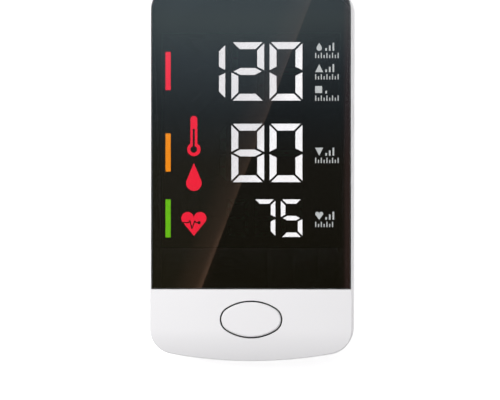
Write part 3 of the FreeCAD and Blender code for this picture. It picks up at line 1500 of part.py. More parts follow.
# ---------------------------------------------------------------- air path
def make_air_path():
    # manifold: a block with four spigots for socket, valve, pump and sensor
    x, y, z = tee_x, tee_y, D.air_z
    half, reach = D.tee_half, tee_reach
    node(fuse("tee_fuse", [
        block("tee_block", x - half, y - half, z - half, x + half, y + half, z + half),
        rod("tee_across", x - reach, y, z, D.spigot, reach * 2, ALONG_X),
        rod("tee_along", x, y, z, D.spigot, reach, ALONG_Y),
        rod("tee_up", x, y, z, D.spigot, reach, lean=D.tilt)]), "air_manifold")

    # cuff socket, turned about its own axis
    side = D.body_width / 2
    socket = body("socket_body")
    profile = sketch(socket)
    tail = D.socket_deep + D.socket_end
    end = tail + D.spigot_reach
    polygon(profile, [
        (0, D.socket_bore), (0, D.socket_flange), (D.socket_inset, D.socket_flange),
        (D.socket_inset, D.socket_barrel), (tail, D.socket_barrel), (tail, D.spigot),
        (end, D.spigot), (end, 0), (D.socket_deep, 0), (D.socket_deep, D.socket_bore)])
    spin(socket, profile)
    node(lay(socket, -side, y, z), "cuff_socket")

    # hexagon nut that holds the socket to the wall
    nut = body("nut_body")
    flat = D.nut_flats / 2
    corner = flat / cosine(dim(30))
    face = sketch(nut, "YZ_Plane")
    polygon(face, [(flat, corner / 2), (0, corner), (-flat, corner / 2),
                   (-flat, -corner / 2), (0, -corner), (flat, -corner / 2)])
    circle(face, 0, 0, D.socket_barrel + D.thread_gap)
    pad(nut, face, D.nut_thick)
    node(lay(nut, -side + D.wall, y, z), "socket_nut")

    # hoses push over the spigots, close up to each shoulder
    shy = D.hose_play
    start = -side + tail + shy
    node(hose("hose_socket", start, y, z, x - half - shy - start, ALONG_X), "hose_socket")
    start = x + half + shy
    node(hose("hose_valve", start, y, z, valve_start - shy - start, ALONG_X), "hose_valve")
    start = y + half + shy
    stop = pump_y - D.head_side / 2 - shy
    node(hose("hose_pump", x, start, z, stop - start, ALONG_Y), "hose_pump")
    v, w = row_to_face(y, z)
    start = w + (half + D.hose_outer * sin_tilt) / cos_tilt + shy
    low_y, low_z = face_to_row(v, start)
    stop = -board_under - D.sensor_tall - shy
    node(hose("hose_sensor", x, low_y, low_z, stop - start, lean=D.tilt), "hose_sensor")


def make_pump():
    y, z = pump_y, pump_z
    start = motor_start
    half = D.head_side / 2
    # motor can with a boss round the shaft
    can = body("motor_body")
    profile = sketch(can)
    gap = D.shaft_radius + D.running_gap
    end = D.motor_length + D.boss_length
    polygon(profile, [
        (0, gap), (0, D.motor_radius), (D.motor_length, D.motor_radius),
        (D.motor_length, D.motor_boss), (end, D.motor_boss), (end, gap)])
    spin(can, profile)
    node(lay(can, start, y, z), "pump_motor")

    # crank housing: a square tube with round room for the eccentric
    crank = start - D.crank_room
    shell = block("crank_outer", crank, y - half, z - half, start, y + half, z + half)
    room = rod("crank_inner", crank, y, z, half - D.crank_wall, D.crank_room, ALONG_X)
    node(cut("crank_cut", shell, room), "pump_housing")
    # rubber diaphragm between the housing and the head
    skin = D.diaphragm_thick
    side = half - D.skin_inset
    node(group("diaphragm", [block("diaphragm_sheet", crank - skin, y - side, z - side,
                                   crank, y + side, z + side)]), "pump_diaphragm")
    # head, with a spigot in its side over the manifold
    head = block("head_block", head_start, y - half, z - half, crank - skin, y + half, z + half)
    tip = y - half - D.spigot_reach
    deep = D.spigot_reach + half / 2
    nose = rod("head_nose", tee_x, tip, D.air_z, D.spigot, deep, ALONG_Y)
    node(fuse("head_fuse", [head, nose]), "pump_head")

    # rotor: shaft with an eccentric in the crank room
    first = crank + D.crank_in
    shaft = rod("shaft", first, y, z, D.shaft_radius, shaft_stop - first, ALONG_X)
    eccentric = rod("eccentric", first, y, z + D.crank_throw, D.crank_radius, D.crank_length, ALONG_X)
    node(fuse("rotor", [shaft, eccentric]), "pump_rotor")


def make_valve():
    y, z = tee_y, D.air_z
    half = D.valve_side / 2
    start = valve_start
    yoke = start + D.seat_length
    end = yoke + D.yoke_length
    thick = D.yoke_thick
    play = D.plunger_radius + D.running_gap
    nose = D.spigot_reach
    # seat block with the spigot; the plunger closes its bore
    seat = fuse("seat_fuse", [
        block("seat_block", start, y - half, z - half, yoke, y + half, z + half),
        rod("seat_nose", start - nose, y, z, D.spigot, nose + D.seat_wall, ALONG_X)])
    room = rod("seat_room", start + D.seat_wall, y, z, play, D.seat_length, ALONG_X)
    node(cut("seat_cut", seat, room), "valve_seat")
    # folded steel yoke: two arms from the seat block, and an end plate
    side = half - D.yoke_inset
    frame = block("yoke_outer", yoke, y - side, z - half, end, y + side, z + half)
    hollow = block("yoke_inner", yoke, y - half, z - half + thick,
                   end - thick, y + half, z + half - thick)
    way = rod("yoke_way", end - thick * 2, y, z, play, thick * 2, ALONG_X)
    node(cut("yoke_cut", frame, fuse("yoke_gaps", [hollow, way])), "valve_yoke")
    coil = rod("coil_outer", yoke, y, z, D.coil_radius, D.yoke_length - thick, ALONG_X)
    core = rod("coil_inner", yoke, y, z, play, D.yoke_length, ALONG_X)
    node(cut("coil_cut", coil, core), "valve_coil")
    tip = start + D.seat_wall + D.plunger_travel + D.running_gap
    plunger = rod("plunger", tip, y, z, D.plunger_radius, end + D.plunger_end - tip, ALONG_X)
    node(group("plunger_group", [plunger]), "valve_plunger")


# ---------------------------------------------------------------- screws and feet
def make_fasteners():
    screws = []
    seat = -D.screw_seat
    low = seat - D.screw_thick
    deep = seat - D.screw_thick / 2
    long, wide = D.cross_long / 2, D.cross_wide / 2
    for x, y in case_screw_places():
        shank = rod("shank", x, y, seat - SUNK, D.screw_radius, D.screw_seat + SUNK - D.screw_reach)
        head = rod("head", x, y, low, D.screw_head, D.screw_thick)
        cross = block("cross", x - long, y - wide, low, x + long, y + wide, deep)
        slot = block("slot", x - wide, y - long, low, x + wide, y + long, deep)
        screws.append(cut("case_screw", fuse("screw_fuse", [shank, head]),
                          fuse("screw_cross", [cross, slot])))
    node(on_face(group("large_screws", screws)), "case_screws")

    feet = foot_pads("feet", ZERO, ZERO, D.base_height + D.foot_recess)
    node(group("feet_group", [feet]), "rubber_feet")


make_front_case()
make_lens()
make_display()
make_board()
make_button()
make_rear_case()
make_cells()
make_air_path()
make_pump()
make_valve()
make_fasteners()
doc.recompute()

# ---------------------------------------------------------------- checks and export
for item in doc.Objects:
    if "Invalid" in item.State or "Error" in item.State:
        raise RuntimeError("%s (%s) did not build: %s" % (item.Label, item.Name, item.State))
os.makedirs("parts", exist_ok=True)
for item in parts:
    shape = item.Shape
    if shape.isNull() or not shape.isValid() or not shape.Solids:
        raise RuntimeError("%s has no valid shape" % item.Label)
for item in parts:
    item.Shape.exportStep("parts/%s.step" % item.Label)
    box = item.Shape.BoundBox
    print("%-18s %2d solids %9.1f mm3  x %6.1f..%6.1f  y %6.1f..%6.1f  z %5.1f..%5.1f" % (
        item.Label, len(item.Shape.Solids), item.Shape.Volume,
        box.XMin, box.XMax, box.YMin, box.YMax, box.ZMin, box.ZMax))
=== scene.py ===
"""Looks of a tabletop blood pressure monitor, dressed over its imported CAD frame.

Objects are in metres in the row frame: +Z up, +Y away from the user, +X to the user's
right. The face frame (u, v, w) is in millimetres: u across the face to the right, v up
the face, w out of it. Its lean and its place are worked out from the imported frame.
"""
import json
import math
from collections import namedtuple

import bmesh
import bpy
from mathutils import Matrix, Vector


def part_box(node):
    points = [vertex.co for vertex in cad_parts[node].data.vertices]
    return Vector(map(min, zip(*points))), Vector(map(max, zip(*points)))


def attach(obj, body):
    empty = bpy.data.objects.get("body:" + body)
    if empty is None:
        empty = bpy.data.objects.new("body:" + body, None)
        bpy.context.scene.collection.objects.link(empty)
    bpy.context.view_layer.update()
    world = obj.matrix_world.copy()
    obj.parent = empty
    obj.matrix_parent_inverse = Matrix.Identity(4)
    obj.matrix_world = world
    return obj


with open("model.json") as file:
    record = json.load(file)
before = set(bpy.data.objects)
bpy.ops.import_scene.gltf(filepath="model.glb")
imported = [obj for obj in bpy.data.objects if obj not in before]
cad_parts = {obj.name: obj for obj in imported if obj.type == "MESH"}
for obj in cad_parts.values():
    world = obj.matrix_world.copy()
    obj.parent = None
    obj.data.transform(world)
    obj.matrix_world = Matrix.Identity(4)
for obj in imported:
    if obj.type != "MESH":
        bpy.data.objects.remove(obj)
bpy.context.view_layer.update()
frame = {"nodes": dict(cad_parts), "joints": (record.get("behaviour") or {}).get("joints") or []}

MM = 0.001

# ---------------------------------------------------------------- face frame
# the key moves square to the face, which gives its lean; the film gives its place, for the
# film's middle is so far up from the face's middle and so far below it, in millimetres
FILM_UP = 11.0
FILM_DEPTH = 2.0

press = next(joint for joint in frame["joints"] if joint["name"] == "start_press")
film_low, film_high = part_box("display_film")

U_WAY = Vector((1.0, 0.0, 0.0))
W_WAY = -Vector(press["axis"]).normalized()
V_WAY = W_WAY.cross(U_WAY)
LEAN = Matrix.Rotation(math.atan2(V_WAY.z, V_WAY.y), 4, "X")
FACE_MIDDLE = (film_low + film_high) / 2 - V_WAY * FILM_UP * MM + W_WAY * FILM_DEPTH * MM
FACE = Matrix.Translation(FACE_MIDDLE) @ LEAN @ Matrix.Scale(MM, 4)


def face_box(node):
    """Lowest and highest corner of a CAD node in the face frame, in millimetres."""
    to_face = FACE.inverted()
    columns = list(zip(*(to_face @ vertex.co for vertex in frame["nodes"][node].data.vertices)))
    low = Vector([min(column) for column in columns])
    high = Vector([max(column) for column in columns])
    return low, high


# ---------------------------------------------------------------- camera
# square on to the face, a little from the right; distances in metres
CAMERA_AWAY = 1.5
CAMERA_SIDE = math.radians(2.8)
CAMERA_NEAR = 0.05
FIELD_WIDTH = 0.18735
# the point of the face in the picture's middle (u, v), and the sensor's width in millimetres
AIM = (-0.40, -11.5)
SENSOR = 36.0


def make_camera():
    """The photograph's view of the face."""
    aim = FACE @ Vector((*AIM, 0.0))
    back = U_WAY * math.sin(CAMERA_SIDE) + W_WAY * math.cos(CAMERA_SIDE)
    across = V_WAY.cross(back).normalized()
    data = bpy.data.cameras.new("camera")
    data.sensor_width = SENSOR
    data.lens = SENSOR * CAMERA_AWAY / FIELD_WIDTH
    data.clip_start = CAMERA_NEAR
    camera = bpy.data.objects.new("camera", data)
    turn = Matrix((across, back.cross(across), back)).transposed().to_4x4()
    camera.matrix_world = Matrix.Translation(aim + back * CAMERA_AWAY) @ turn
    bpy.context.scene.collection.objects.link(camera)
    bpy.context.scene.camera = camera
    return camera


# ---------------------------------------------------------------- node trees
class Nodes:
    """A node tree, with short ways to add nodes and to feed their sockets."""

    def __init__(self, tree):
        self.tree = tree

    def add(self, kind, **settings):
        """A new node, with its own settings by name."""
        node = self.tree.nodes.new(kind)
        for name, value in settings.items():
            setattr(node, name, value)
        return node

    def put(self, value, socket):
        """Feed a socket from another socket, or set it to a value."""
        if isinstance(value, bpy.types.NodeSocket):
            self.tree.links.new(value, socket)
        else:
            socket.default_value = value

    def fill(self, node, **values):
        """Feed a node's sockets by name, with _ for a space."""
        for name, value in values.items():
            self.put(value, node.inputs[name.replace("_", " ")])
        return node

    def between(self, source, low, high, start=0.0, stop=1.0, smooth=False):
        """Map a value from start..stop to low..high."""
        kind = "SMOOTHSTEP" if smooth else "LINEAR"
        node = self.add("ShaderNodeMapRange", interpolation_type=kind)
        self.put(source, node.inputs["Value"])
        self.put(start, node.inputs["From Min"])
        self.put(stop, node.inputs["From Max"])
        self.put(low, node.inputs["To Min"])
        self.put(high, node.inputs["To Max"])
        return node.outputs["Result"]

    def math(self, operation, first, second=0.0):
        """One sum on two values or sockets."""
        node = self.add("ShaderNodeMath", operation=operation)
        self.put(first, node.inputs[0])
        self.put(second, node.inputs[1])
        return node.outputs[0]

    def vector(self, operation, first, second):
        """Two vectors added, subtracted or multiplied as DOT_PRODUCT, or one SCALEd."""
        node = self.add("ShaderNodeVectorMath", operation=operation)
        self.put(first, node.inputs[0])
        self.put(second, node.inputs["Scale" if operation == "SCALE" else 1])
        return node.outputs["Value" if operation == "DOT_PRODUCT" else "Vector"]

    def coordinate(self, place, letter):
        """The X, Y or Z of a place."""
        split = self.add("ShaderNodeSeparateXYZ")
        self.put(place, split.inputs[0])
        return split.outputs[letter]


class Surface(Nodes):
    """A material of its own, whose patterns follow the object's own place."""

    def __init__(self, name):
        self.material = bpy.data.materials.new(name)
        self.material.use_nodes = True
        super().__init__(self.material.node_tree)
        self.shader = self.tree.nodes["Principled BSDF"]
        self.place = self.add("ShaderNodeTexCoord").outputs["Object"]

    def noise(self, scale, detail=2.0, stretch=None):
        """Noise over the object's own place; stretch multiplies the axes."""
        place = self.place
        if stretch:
            mapping = self.fill(self.add("ShaderNodeMapping"), Vector=place, Scale=stretch)
            place = mapping.outputs["Vector"]
        node = self.fill(self.add("ShaderNodeTexNoise"), Vector=place, Scale=scale, Detail=detail)
        return node.outputs["Fac"]

    def mix(self, factor, first, second):
        """Colour between first and second, each a socket or three numbers."""
        node = self.add("ShaderNodeMix", data_type="RGBA")
        self.put(factor, node.inputs["Factor"])
        for name, value in (("A", first), ("B", second)):
            colour = value if isinstance(value, bpy.types.NodeSocket) else (*value, 1.0)
            self.put(colour, next(s for s in node.inputs if s.name == name and s.type == "RGBA"))
        return next(s for s in node.outputs if s.type == "RGBA")

    def along(self, way):
        """Distance of the object's own place from the face's middle along a direction."""
        return self.vector("DOT_PRODUCT", self.vector("SUBTRACT", self.place, FACE_MIDDLE), way)

    def relief(self, height, depth, round_edge):
        """Fine bumps over the shape, whose edges look rounded off by round_edge."""
        bump = self.fill(self.add("ShaderNodeBump"), Strength=1.0, Distance=depth, Height=height)
        if round_edge:
            bevel = self.fill(self.add("ShaderNodeBevel", samples=4), Radius=round_edge)
            self.put(bevel.outputs["Normal"], bump.inputs["Normal"])
        self.shade(Normal=bump.outputs["Normal"])

    def shade(self, **values):
        """Feed the shader's own sockets."""
        self.fill(self.shader, **values)
        return self.material


def tones(colour, spread):
    """A darker and a lighter tone of a colour."""
    return [tuple(min(1.0, c * (1 + way * spread)) for c in colour) for way in (-1, 1)]


# ---------------------------------------------------------------- materials
WHITE = (0.885, 0.873, 0.888)
WHITE_SPREAD = 0.012
# painted shade: near black for the shade in the narrow gap round the key
GAP_PAINTED_SHADE = (0.03, 0.03, 0.032)

# noise scales, in waves a metre
SHELL_PATCH = 30.0
SHELL_GRAIN = 3200.0
FINE_GRAIN = 2500.0

# height of the white plastic's grain, and how far its edges look rounded, in metres
SHELL_BUMP = 1.2e-5
SHELL_EDGE = 0.00035
KEY_EDGE = 0.0004

# the key turns from painted shade, which stands for the shade in the gap round it, to white between
# these heights over the face, in metres
KEY_FULL_SHADE = -0.0006
KEY_WHITE = -0.0001

# bare steel at a battery cell's ends, and the blur of its edge, in metres
CELL_CAP = 0.0018
CAP_BLUR = 0.0001

# slanting edge of the light in the lens: its upper and its lower end on the face, (u, v)
EDGE_ON_FACE = ((22.6, 63.4), (-18.6, -44.5))
# half the width over which the figures go from painted shade on the reflected light's side to brighter
# glow across that edge, in metres
PAINTED_SHADE_HALF = 0.0035
# most of a noise lies between these two values
NOISE_LOW = 0.3
NOISE_HIGH = 0.7


def square_to(start, end):
    """Unit vector square to a line, on the right of one who walks from start to end."""
    (x0, y0), (x1, y1) = start, end
    run = math.hypot(x1 - x0, y1 - y0)
    return (y1 - y0) / run, (x0 - x1) / run


def plain(name, colour, roughness=0.5, metallic=0.0, spread=0.03, patch=90.0, grain=FINE_GRAIN,
          rough_spread=0.08, depth=1.5e-5, round_edge=0.0, stretch=None, **sockets):
    """A moulded, drawn or cut surface: soft patches of tone, fine grain, slight relief."""
    look = Surface(name)
    fine = look.noise(grain, stretch=stretch)
    smooth = max(0.02, roughness - rough_spread)
    coarse = min(1.0, roughness + rough_spread)
    look.relief(fine, depth, round_edge)
    return look.shade(Base_Color=look.mix(look.noise(patch, detail=3.0), *tones(colour, spread)),
                      Roughness=look.between(fine, smooth, coarse), Metallic=metallic, **sockets)


def white_shell():
    """Smooth white moulded plastic."""
    return plain("white_shell", WHITE, 0.34, spread=WHITE_SPREAD, patch=SHELL_PATCH, grain=SHELL_GRAIN,
                 rough_spread=0.05, depth=SHELL_BUMP, round_edge=SHELL_EDGE, IOR=1.5)


def key_white():
    """The key: white above, with painted shade in the gap below the face."""
    look = Surface("key_white")
    fine = look.noise(SHELL_GRAIN)
    # painted shade: the key's sides below the face turn near black, for the shade in the gap round it
    unshaded = look.between(look.along(W_WAY), 0.0, 1.0, KEY_FULL_SHADE, KEY_WHITE)
    white = look.mix(look.noise(SHELL_PATCH, detail=3.0), *tones(WHITE, WHITE_SPREAD))
    look.relief(fine, SHELL_BUMP, KEY_EDGE)
    return look.shade(Base_Color=look.mix(unshaded, GAP_PAINTED_SHADE, white),
                      Roughness=look.between(fine, 0.28, 0.38), IOR=1.5)


def smoked_lens():
    """Polished smoked acrylic: clear to the lit figures behind it, nearly black elsewhere."""
    look = Surface("smoked_lens")
    tint = look.mix(look.noise(40.0, detail=3.0), (0.33, 0.345, 0.36), (0.36, 0.365, 0.37))
    return look.shade(Base_Color=tint, Roughness=0.0, IOR=1.49, Transmission_Weight=1.0)


def black_tape():
    """Tape glossy enough for the lens to look the same over it as over the window."""
    return plain("black_tape", (0.006, 0.006, 0.006), 0.03, rough_spread=0.01, depth=0.0)


def diffuser_film():
    """Thin dark film, mostly clear."""
    look = Surface("diffuser_film")
    black = look.mix(look.noise(60.0), (0.005, 0.005, 0.005), (0.007, 0.007, 0.007))
    return look.shade(Base_Color=black, Roughness=look.between(look.noise(FINE_GRAIN), 0.5, 0.7),
                      Alpha=look.between(look.noise(1800.0), 0.295, 0.305), Specular_IOR_Level=0.0)


def lit(name, colour, strength, spread=0.05, painted_shade_slope=0.0):
    """A lit diffuser: soft uneven glow; a slope of painted shade dims it on the reflected light's side
    of the lens's slanting edge and brightens it beyond.
    """
    look = Surface(name)
    pair = tones(colour, 0.02)
    low, high = strength * (1 - spread), strength * (1 + spread)
    level = look.between(look.noise(420.0, detail=1.0), low, high, NOISE_LOW, NOISE_HIGH)
    # painted shade: the figures are dimmer where the card's light shows in the lens and brighter past
    # its slanting edge
    if painted_shade_slope:
        u, v = square_to(*EDGE_ON_FACE)
        beyond = look.along(-U_WAY * u - V_WAY * v)
        rise = look.between(beyond, 1.0 - painted_shade_slope, 1.0 + painted_shade_slope, -PAINTED_SHADE_HALF, PAINTED_SHADE_HALF, smooth=True)
        level = look.math("MULTIPLY", level, rise)
    glow = look.mix(look.noise(350.0, detail=1.0), *pair)
    return look.shade(Base_Color=look.mix(look.noise(150.0), *pair), Emission_Color=glow,
                      Emission_Strength=level, Roughness=look.between(look.noise(FINE_GRAIN), 0.5, 0.7))


def brushed(name, colour, roughness=0.35):
    """Turned or drawn metal, its grain fine along Z."""
    return plain(name, colour, roughness, metallic=1.0, spread=0.05, patch=200.0, grain=900.0,
                 rough_spread=0.12, depth=6e-6, stretch=(1.0, 1.0, 12.0))


def board_green():
    """Solder mask with faint tracks."""
    look = Surface("board_green")
    tracks = look.add("ShaderNodeTexBrick")
    look.fill(tracks, Vector=look.place, Scale=260.0, Mortar_Size=0.06, Color1=(0.02, 0.16, 0.06, 1.0),
              Color2=(0.025, 0.18, 0.07, 1.0), Mortar=(0.04, 0.26, 0.11, 1.0))
    return look.shade(Base_Color=tracks.outputs["Color"],
                      Roughness=look.between(look.noise(1500.0), 0.25, 0.4))


def cell_blue():
    """Battery sleeve with bare steel ends."""
    look = Surface("cell_blue")
    low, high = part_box("battery_cells")
    middle = (low.y + high.y) / 2
    sleeve_end = (high.y - low.y) / 2 - CELL_CAP
    away = look.math("ABSOLUTE", look.math("SUBTRACT", look.coordinate(look.place, "Y"), middle))
    end = look.between(away, 0.0, 1.0, sleeve_end - CAP_BLUR, sleeve_end + CAP_BLUR)
    sleeve = look.mix(look.noise(300.0), (0.04, 0.10, 0.22), (0.05, 0.12, 0.26))
    return look.shade(Base_Color=look.mix(end, sleeve, (0.62, 0.61, 0.60)), Metallic=end,
                      Roughness=look.between(look.noise(FINE_GRAIN), 0.25, 0.4))


def node_materials():
    """One procedural material for every CAD node."""
    shell = white_shell()
    zinc = brushed("zinc_steel", (0.62, 0.62, 0.63))
    shaft = brushed("rotor_steel", (0.60, 0.60, 0.61), 0.25)
    nickel = brushed("contact_nickel", (0.70, 0.69, 0.66), 0.3)
    hose = plain("hose_clear", (0.80, 0.80, 0.78), 0.4, spread=0.02, Transmission_Weight=0.25,
                 Subsurface_Weight=0.2)
    black = plain("port_black", (0.035, 0.035, 0.037), 0.45, grain=1800.0, round_edge=0.0002)
    pump = plain("pump_black", (0.045, 0.045, 0.05), 0.5, grain=1500.0)
    return {
        "front_case": shell,
        "rear_case": shell,
        "battery_door": shell,
        "start_button": key_white(),
        "display_lens": smoked_lens(),
        "lens_tape": black_tape(),
        "display_reflector": plain("reflector_black", (0.004, 0.004, 0.004), 0.8,
                                   Specular_IOR_Level=0.0),
        "display_film": diffuser_film(),
        # the figures carry painted shade on the reflected light's side of the lens's slanting edge
        "lit_digits": lit("figure_white", (1.0, 0.945, 0.94), 5.3, spread=0.006, painted_shade_slope=0.10),
        "red_icons": lit("mark_red", (1.0, 0.008, 0.042), 5.2, spread=0.03),
        "orange_bar": lit("mark_orange", (1.0, 0.28, 0.002), 5.35, spread=0.03),
        "green_bar": lit("mark_green", (0.15, 0.54, 0.004), 5.15, spread=0.03),
        "led_chips": plain("lamp_yellow", (0.10, 0.09, 0.05), 0.5, Specular_IOR_Level=0.2),
        "main_board": board_green(),
        "board_chips": plain("chip_black", (0.02, 0.02, 0.02), 0.45, grain=4000.0),
        "board_screws": zinc,
        "case_screws": zinc,
        "valve_yoke": zinc,
        "buzzer": plain("buzzer_black", (0.03, 0.03, 0.03), 0.4),
        "strip_connector": black,
        "power_socket": brushed("port_steel", (0.60, 0.60, 0.61), 0.3),
        "pressure_sensor": plain("sensor_grey", (0.62, 0.62, 0.60), 0.5),
        "button_pad": plain("silicone_grey", (0.36, 0.37, 0.38), 0.6, Sheen_Weight=0.2),
        "battery_cells": cell_blue(),
        "contacts_far": nickel,
        "contacts_near": nickel,
        "air_manifold": plain("manifold_white", (0.80, 0.80, 0.77), 0.5),
        "cuff_socket": plain("socket_grey", (0.42, 0.42, 0.44), 0.35, grain=2200.0, round_edge=0.0003),
        "socket_nut": plain("nut_grey", (0.20, 0.20, 0.21), 0.5),
        "hose_socket": hose,
        "hose_pump": hose,
        "hose_sensor": hose,
        "hose_valve": hose,
        "pump_motor": brushed("motor_steel", (0.66, 0.66, 0.67), 0.3),
        "pump_housing": pump,
        "pump_head": pump,
        "pump_diaphragm": plain("diaphragm_rubber", (0.03, 0.03, 0.03), 0.7),
        "pump_rotor": shaft,
        "valve_plunger": shaft,
        "valve_seat": plain("seat_white", (0.75, 0.75, 0.72), 0.5),
        "valve_coil": plain("coil_copper", (0.35, 0.12, 0.04), 0.4, grain=3000.0,
                            stretch=(14.0, 1.0, 1.0)),
        "rubber_feet": plain("foot_rubber", (0.18, 0.18, 0.185), 0.75, depth=5e-5, Sheen_Weight=0.15),
    }


def dress_nodes():
    """Give each CAD node its one material."""
    for name, material in node_materials().items():
        mesh = frame["nodes"][name].data
        mesh.materials.clear()
        mesh.materials.append(material)


# ---------------------------------------------------------------- flat shapes
# all sizes on the face are in millimetres
def plate(name, outlines, low, high, material, body="console"):
    """Thin flat shapes in the face frame, each outline a list of (u, v) points."""
    shapes = bmesh.new()
    for outline in outlines:
        bottom = [shapes.verts.new((u, v, low)) for u, v in outline]
        top = [shapes.verts.new((u, v, high)) for u, v in outline]
        count = len(outline)
        shapes.faces.new(list(reversed(bottom)))
        shapes.faces.new(top)
        for k in range(count):
            after = (k + 1) % count
            shapes.faces.new((bottom[k], bottom[after], top[after], top[k]))
    bmesh.ops.recalc_face_normals(shapes, faces=shapes.faces)
    mesh = bpy.data.meshes.new(name)
    shapes.to_mesh(mesh)
    shapes.free()
    mesh.transform(FACE)
    mesh.materials.append(material)
    piece = bpy.data.objects.new(name, mesh)
    bpy.context.scene.collection.objects.link(piece)
    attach(piece, body)
    return piece


def ring_points(u, v, radius, start=0.0, stop=360.0, steps=24):
    """Points of an arc about (u, v), from start to stop in degrees."""
    closed = abs(stop - start) >= 360.0
    count = steps if closed else steps + 1
    points = []
    for k in range(count):
        angle = math.radians(start + (stop - start) * k / steps)
        points.append((u + radius * math.cos(angle), v + radius * math.sin(angle)))
    return points


def bar(u, v, wide, high):
    """A bar from its lower left corner."""
    return [(u, v), (u + wide, v), (u + wide, v + high), (u, v + high)]


def stroke(points, width):
    """Quads along a run of points, one for each straight stretch."""
    quads = []
    for (u0, v0), (u1, v1) in zip(points, points[1:]):
        run = math.hypot(u1 - u0, v1 - v0)
        du = (v0 - v1) / run * width / 2
        dv = (u1 - u0) / run * width / 2
        quads.append([(u0 + du, v0 + dv), (u0 - du, v0 - dv), (u1 - du, v1 - dv), (u1 + du, v1 + dv)])
    return quads


# ---------------------------------------------------------------- signs beside the readings
# left edge and size of the signs; then the rising steps beside a sign, and the ticks below it
SIGN_LEFT = 24.0
SIGN_SIZE = 3.0
STEP_GAP = 0.8
STEP_WIDE = 0.62
STEP_PITCH = 1.35
STEPS_FULL = 3
TICK_WIDE = 0.4
TICK_PITCH = 1.05
TICK_HIGH = 2.0
TICK_SHORT = 0.6
TICK_DROP = 2.75

# the square's margin, the drop's radius as a share of its size, and how far past
# the level the arcs of the drop and the heart turn, in degrees
SQUARE_SHY = 0.2
DROP_ROUND = 0.34
DROP_TURN = 30.0
HEART_TURN = 35.0

# thickness of a print, and the hair of air between it and the lens
PRINT = 0.03
PRINT_AIR = 0.002


# each shape fits in a box whose lower left corner is (u, v)
def peak(u, v, size):
    """A triangle that points up."""
    return [(u, v), (u + size, v), (u + size / 2, v + size)]


def dip(u, v, size):
    """A triangle that points down."""
    return [(u + size / 2, v), (u + size, v + size), (u, v + size)]


def square(u, v, size):
    """A square a little smaller than its box."""
    side = size - 2 * SQUARE_SHY
    return bar(u, v + SQUARE_SHY, side, side)


def drop(u, v, size):
    """A drop: an open arc closed by its tip."""
    middle = u + size / 2
    radius = size * DROP_ROUND
    return (ring_points(middle, v + radius, radius, 180.0 - DROP_TURN, 360.0 + DROP_TURN, 12)
            + [(middle, v + size)])


def heart(u, v, size):
    """A heart: two lobes and its tip."""
    lobe = size / 4
    top = v + size - lobe
    right = ring_points(u + 3 * lobe, top, lobe, -HEART_TURN, 180.0, 8)
    left = ring_points(u + lobe, top, lobe, 0.0, 180.0 + HEART_TURN, 8)
    return right + left[1:] + [(u + size / 2, v)]


# sign, its foot on the face, number of steps and number of ticks
READINGS = ((drop, 44.4, 3, 9), (peak, 36.4, 3, 9), (square, 28.4, 1, 9), (dip, 5.1, 3, 9),
            (heart, -18.9, 3, 7))


def reading_sign(sign, foot, steps, ticks):
    """A small sign with rising steps beside it, and a row of ticks below."""
    shapes = [sign(SIGN_LEFT, foot, SIGN_SIZE)]
    steps_left = SIGN_LEFT + SIGN_SIZE + STEP_GAP
    for k in range(steps):
        high = SIGN_SIZE * (k + 1) / STEPS_FULL
        shapes.append(bar(steps_left + k * STEP_PITCH, foot, STEP_WIDE, high))
    for k in range(ticks):
        high = TICK_HIGH if k % 2 == 0 else TICK_HIGH * TICK_SHORT
        shapes.append(bar(SIGN_LEFT + k * TICK_PITCH, foot - TICK_DROP, TICK_WIDE, high))
    return shapes


def make_signs():
    """Generic signs in the places of the printed words, under the lens."""
    shapes = []
    for reading in READINGS:
        shapes += reading_sign(*reading)
    lens_under = face_box("display_lens")[0].z
    pale = lit("printed_signs", (0.86, 0.86, 0.84), 1.55)
    plate("reading_signs", shapes, lens_under - PRINT, lens_under - PRINT_AIR, pale)


# ---------------------------------------------------------------- dark prints on the film
# sizes of the large and the small figures and the second row's foot, as in the CAD model
Figure = namedtuple("Figure", "high wide stroke pitch")
LARGE = Figure(22.0, 12.35, 2.65, 14.35)
SMALL = Figure(14.2, 8.13, 1.76, 10.15)
SECOND_FOOT = -4.85
# the third place from the right only shows a 1
ONE_PLACE = 2
# the lit strokes keep this far inside the figures' outlines
STROKE_SHY = 0.05

# width of a line over a joint, and of one that cuts back an end of the 1
JOINT_LINE = 0.78
END_LINE = 1.25
# a line starts this far outside the outline, and reaches this many strokes' widths in
LINE_OUT = 0.3
LINE_IN = 1.2
# rise over run of the lines at half height; those at the corners rise as much as they run
MIDDLE_SLOPE = 0.5
# the 1 is trimmed on its right by this much
ONE_TRIM = 0.28

# thermometer: its middle line, the head of its slit, and its bulb
STEM_U = -21.6
SLIT_HEAD = 15.2
SLIT_WIDE = 0.8
BULB_V = 7.5
BULB_HOLE = 1.27

# heartbeat over the heart: points as (u, rise over BEAT_V), with a dot at the last one
BEAT_V = -20.0
BEAT = ((-26.0, 0.0), (-23.5, 0.0), (-23.1, 0.9), (-22.3, -2.3), (-21.2, 0.7), (-20.7, 0.0),
        (-19.6, 0.0))
BEAT_LINE = 0.42
BEAT_DOT = 0.62


def figure_rows():
    """Right edge of the figures, and foot, figure and count of each row."""
    low, high = face_box("lit_digits")
    first_foot = high.y + STROKE_SHY - LARGE.high
    last_foot = low.y - STROKE_SHY
    return high.x + STROKE_SHY, ((first_foot, LARGE, 3), (SECOND_FOOT, LARGE, 2), (last_foot, SMALL, 2))


def joint_line(u, v, way, turn, reach, width):
    """A line over the joint at (u, v) on the outline; way and turn point inwards and up or down."""
    start = (u - way * LINE_OUT, v - turn * LINE_OUT)
    return stroke([start, (u + way * reach, v + turn * reach)], width)


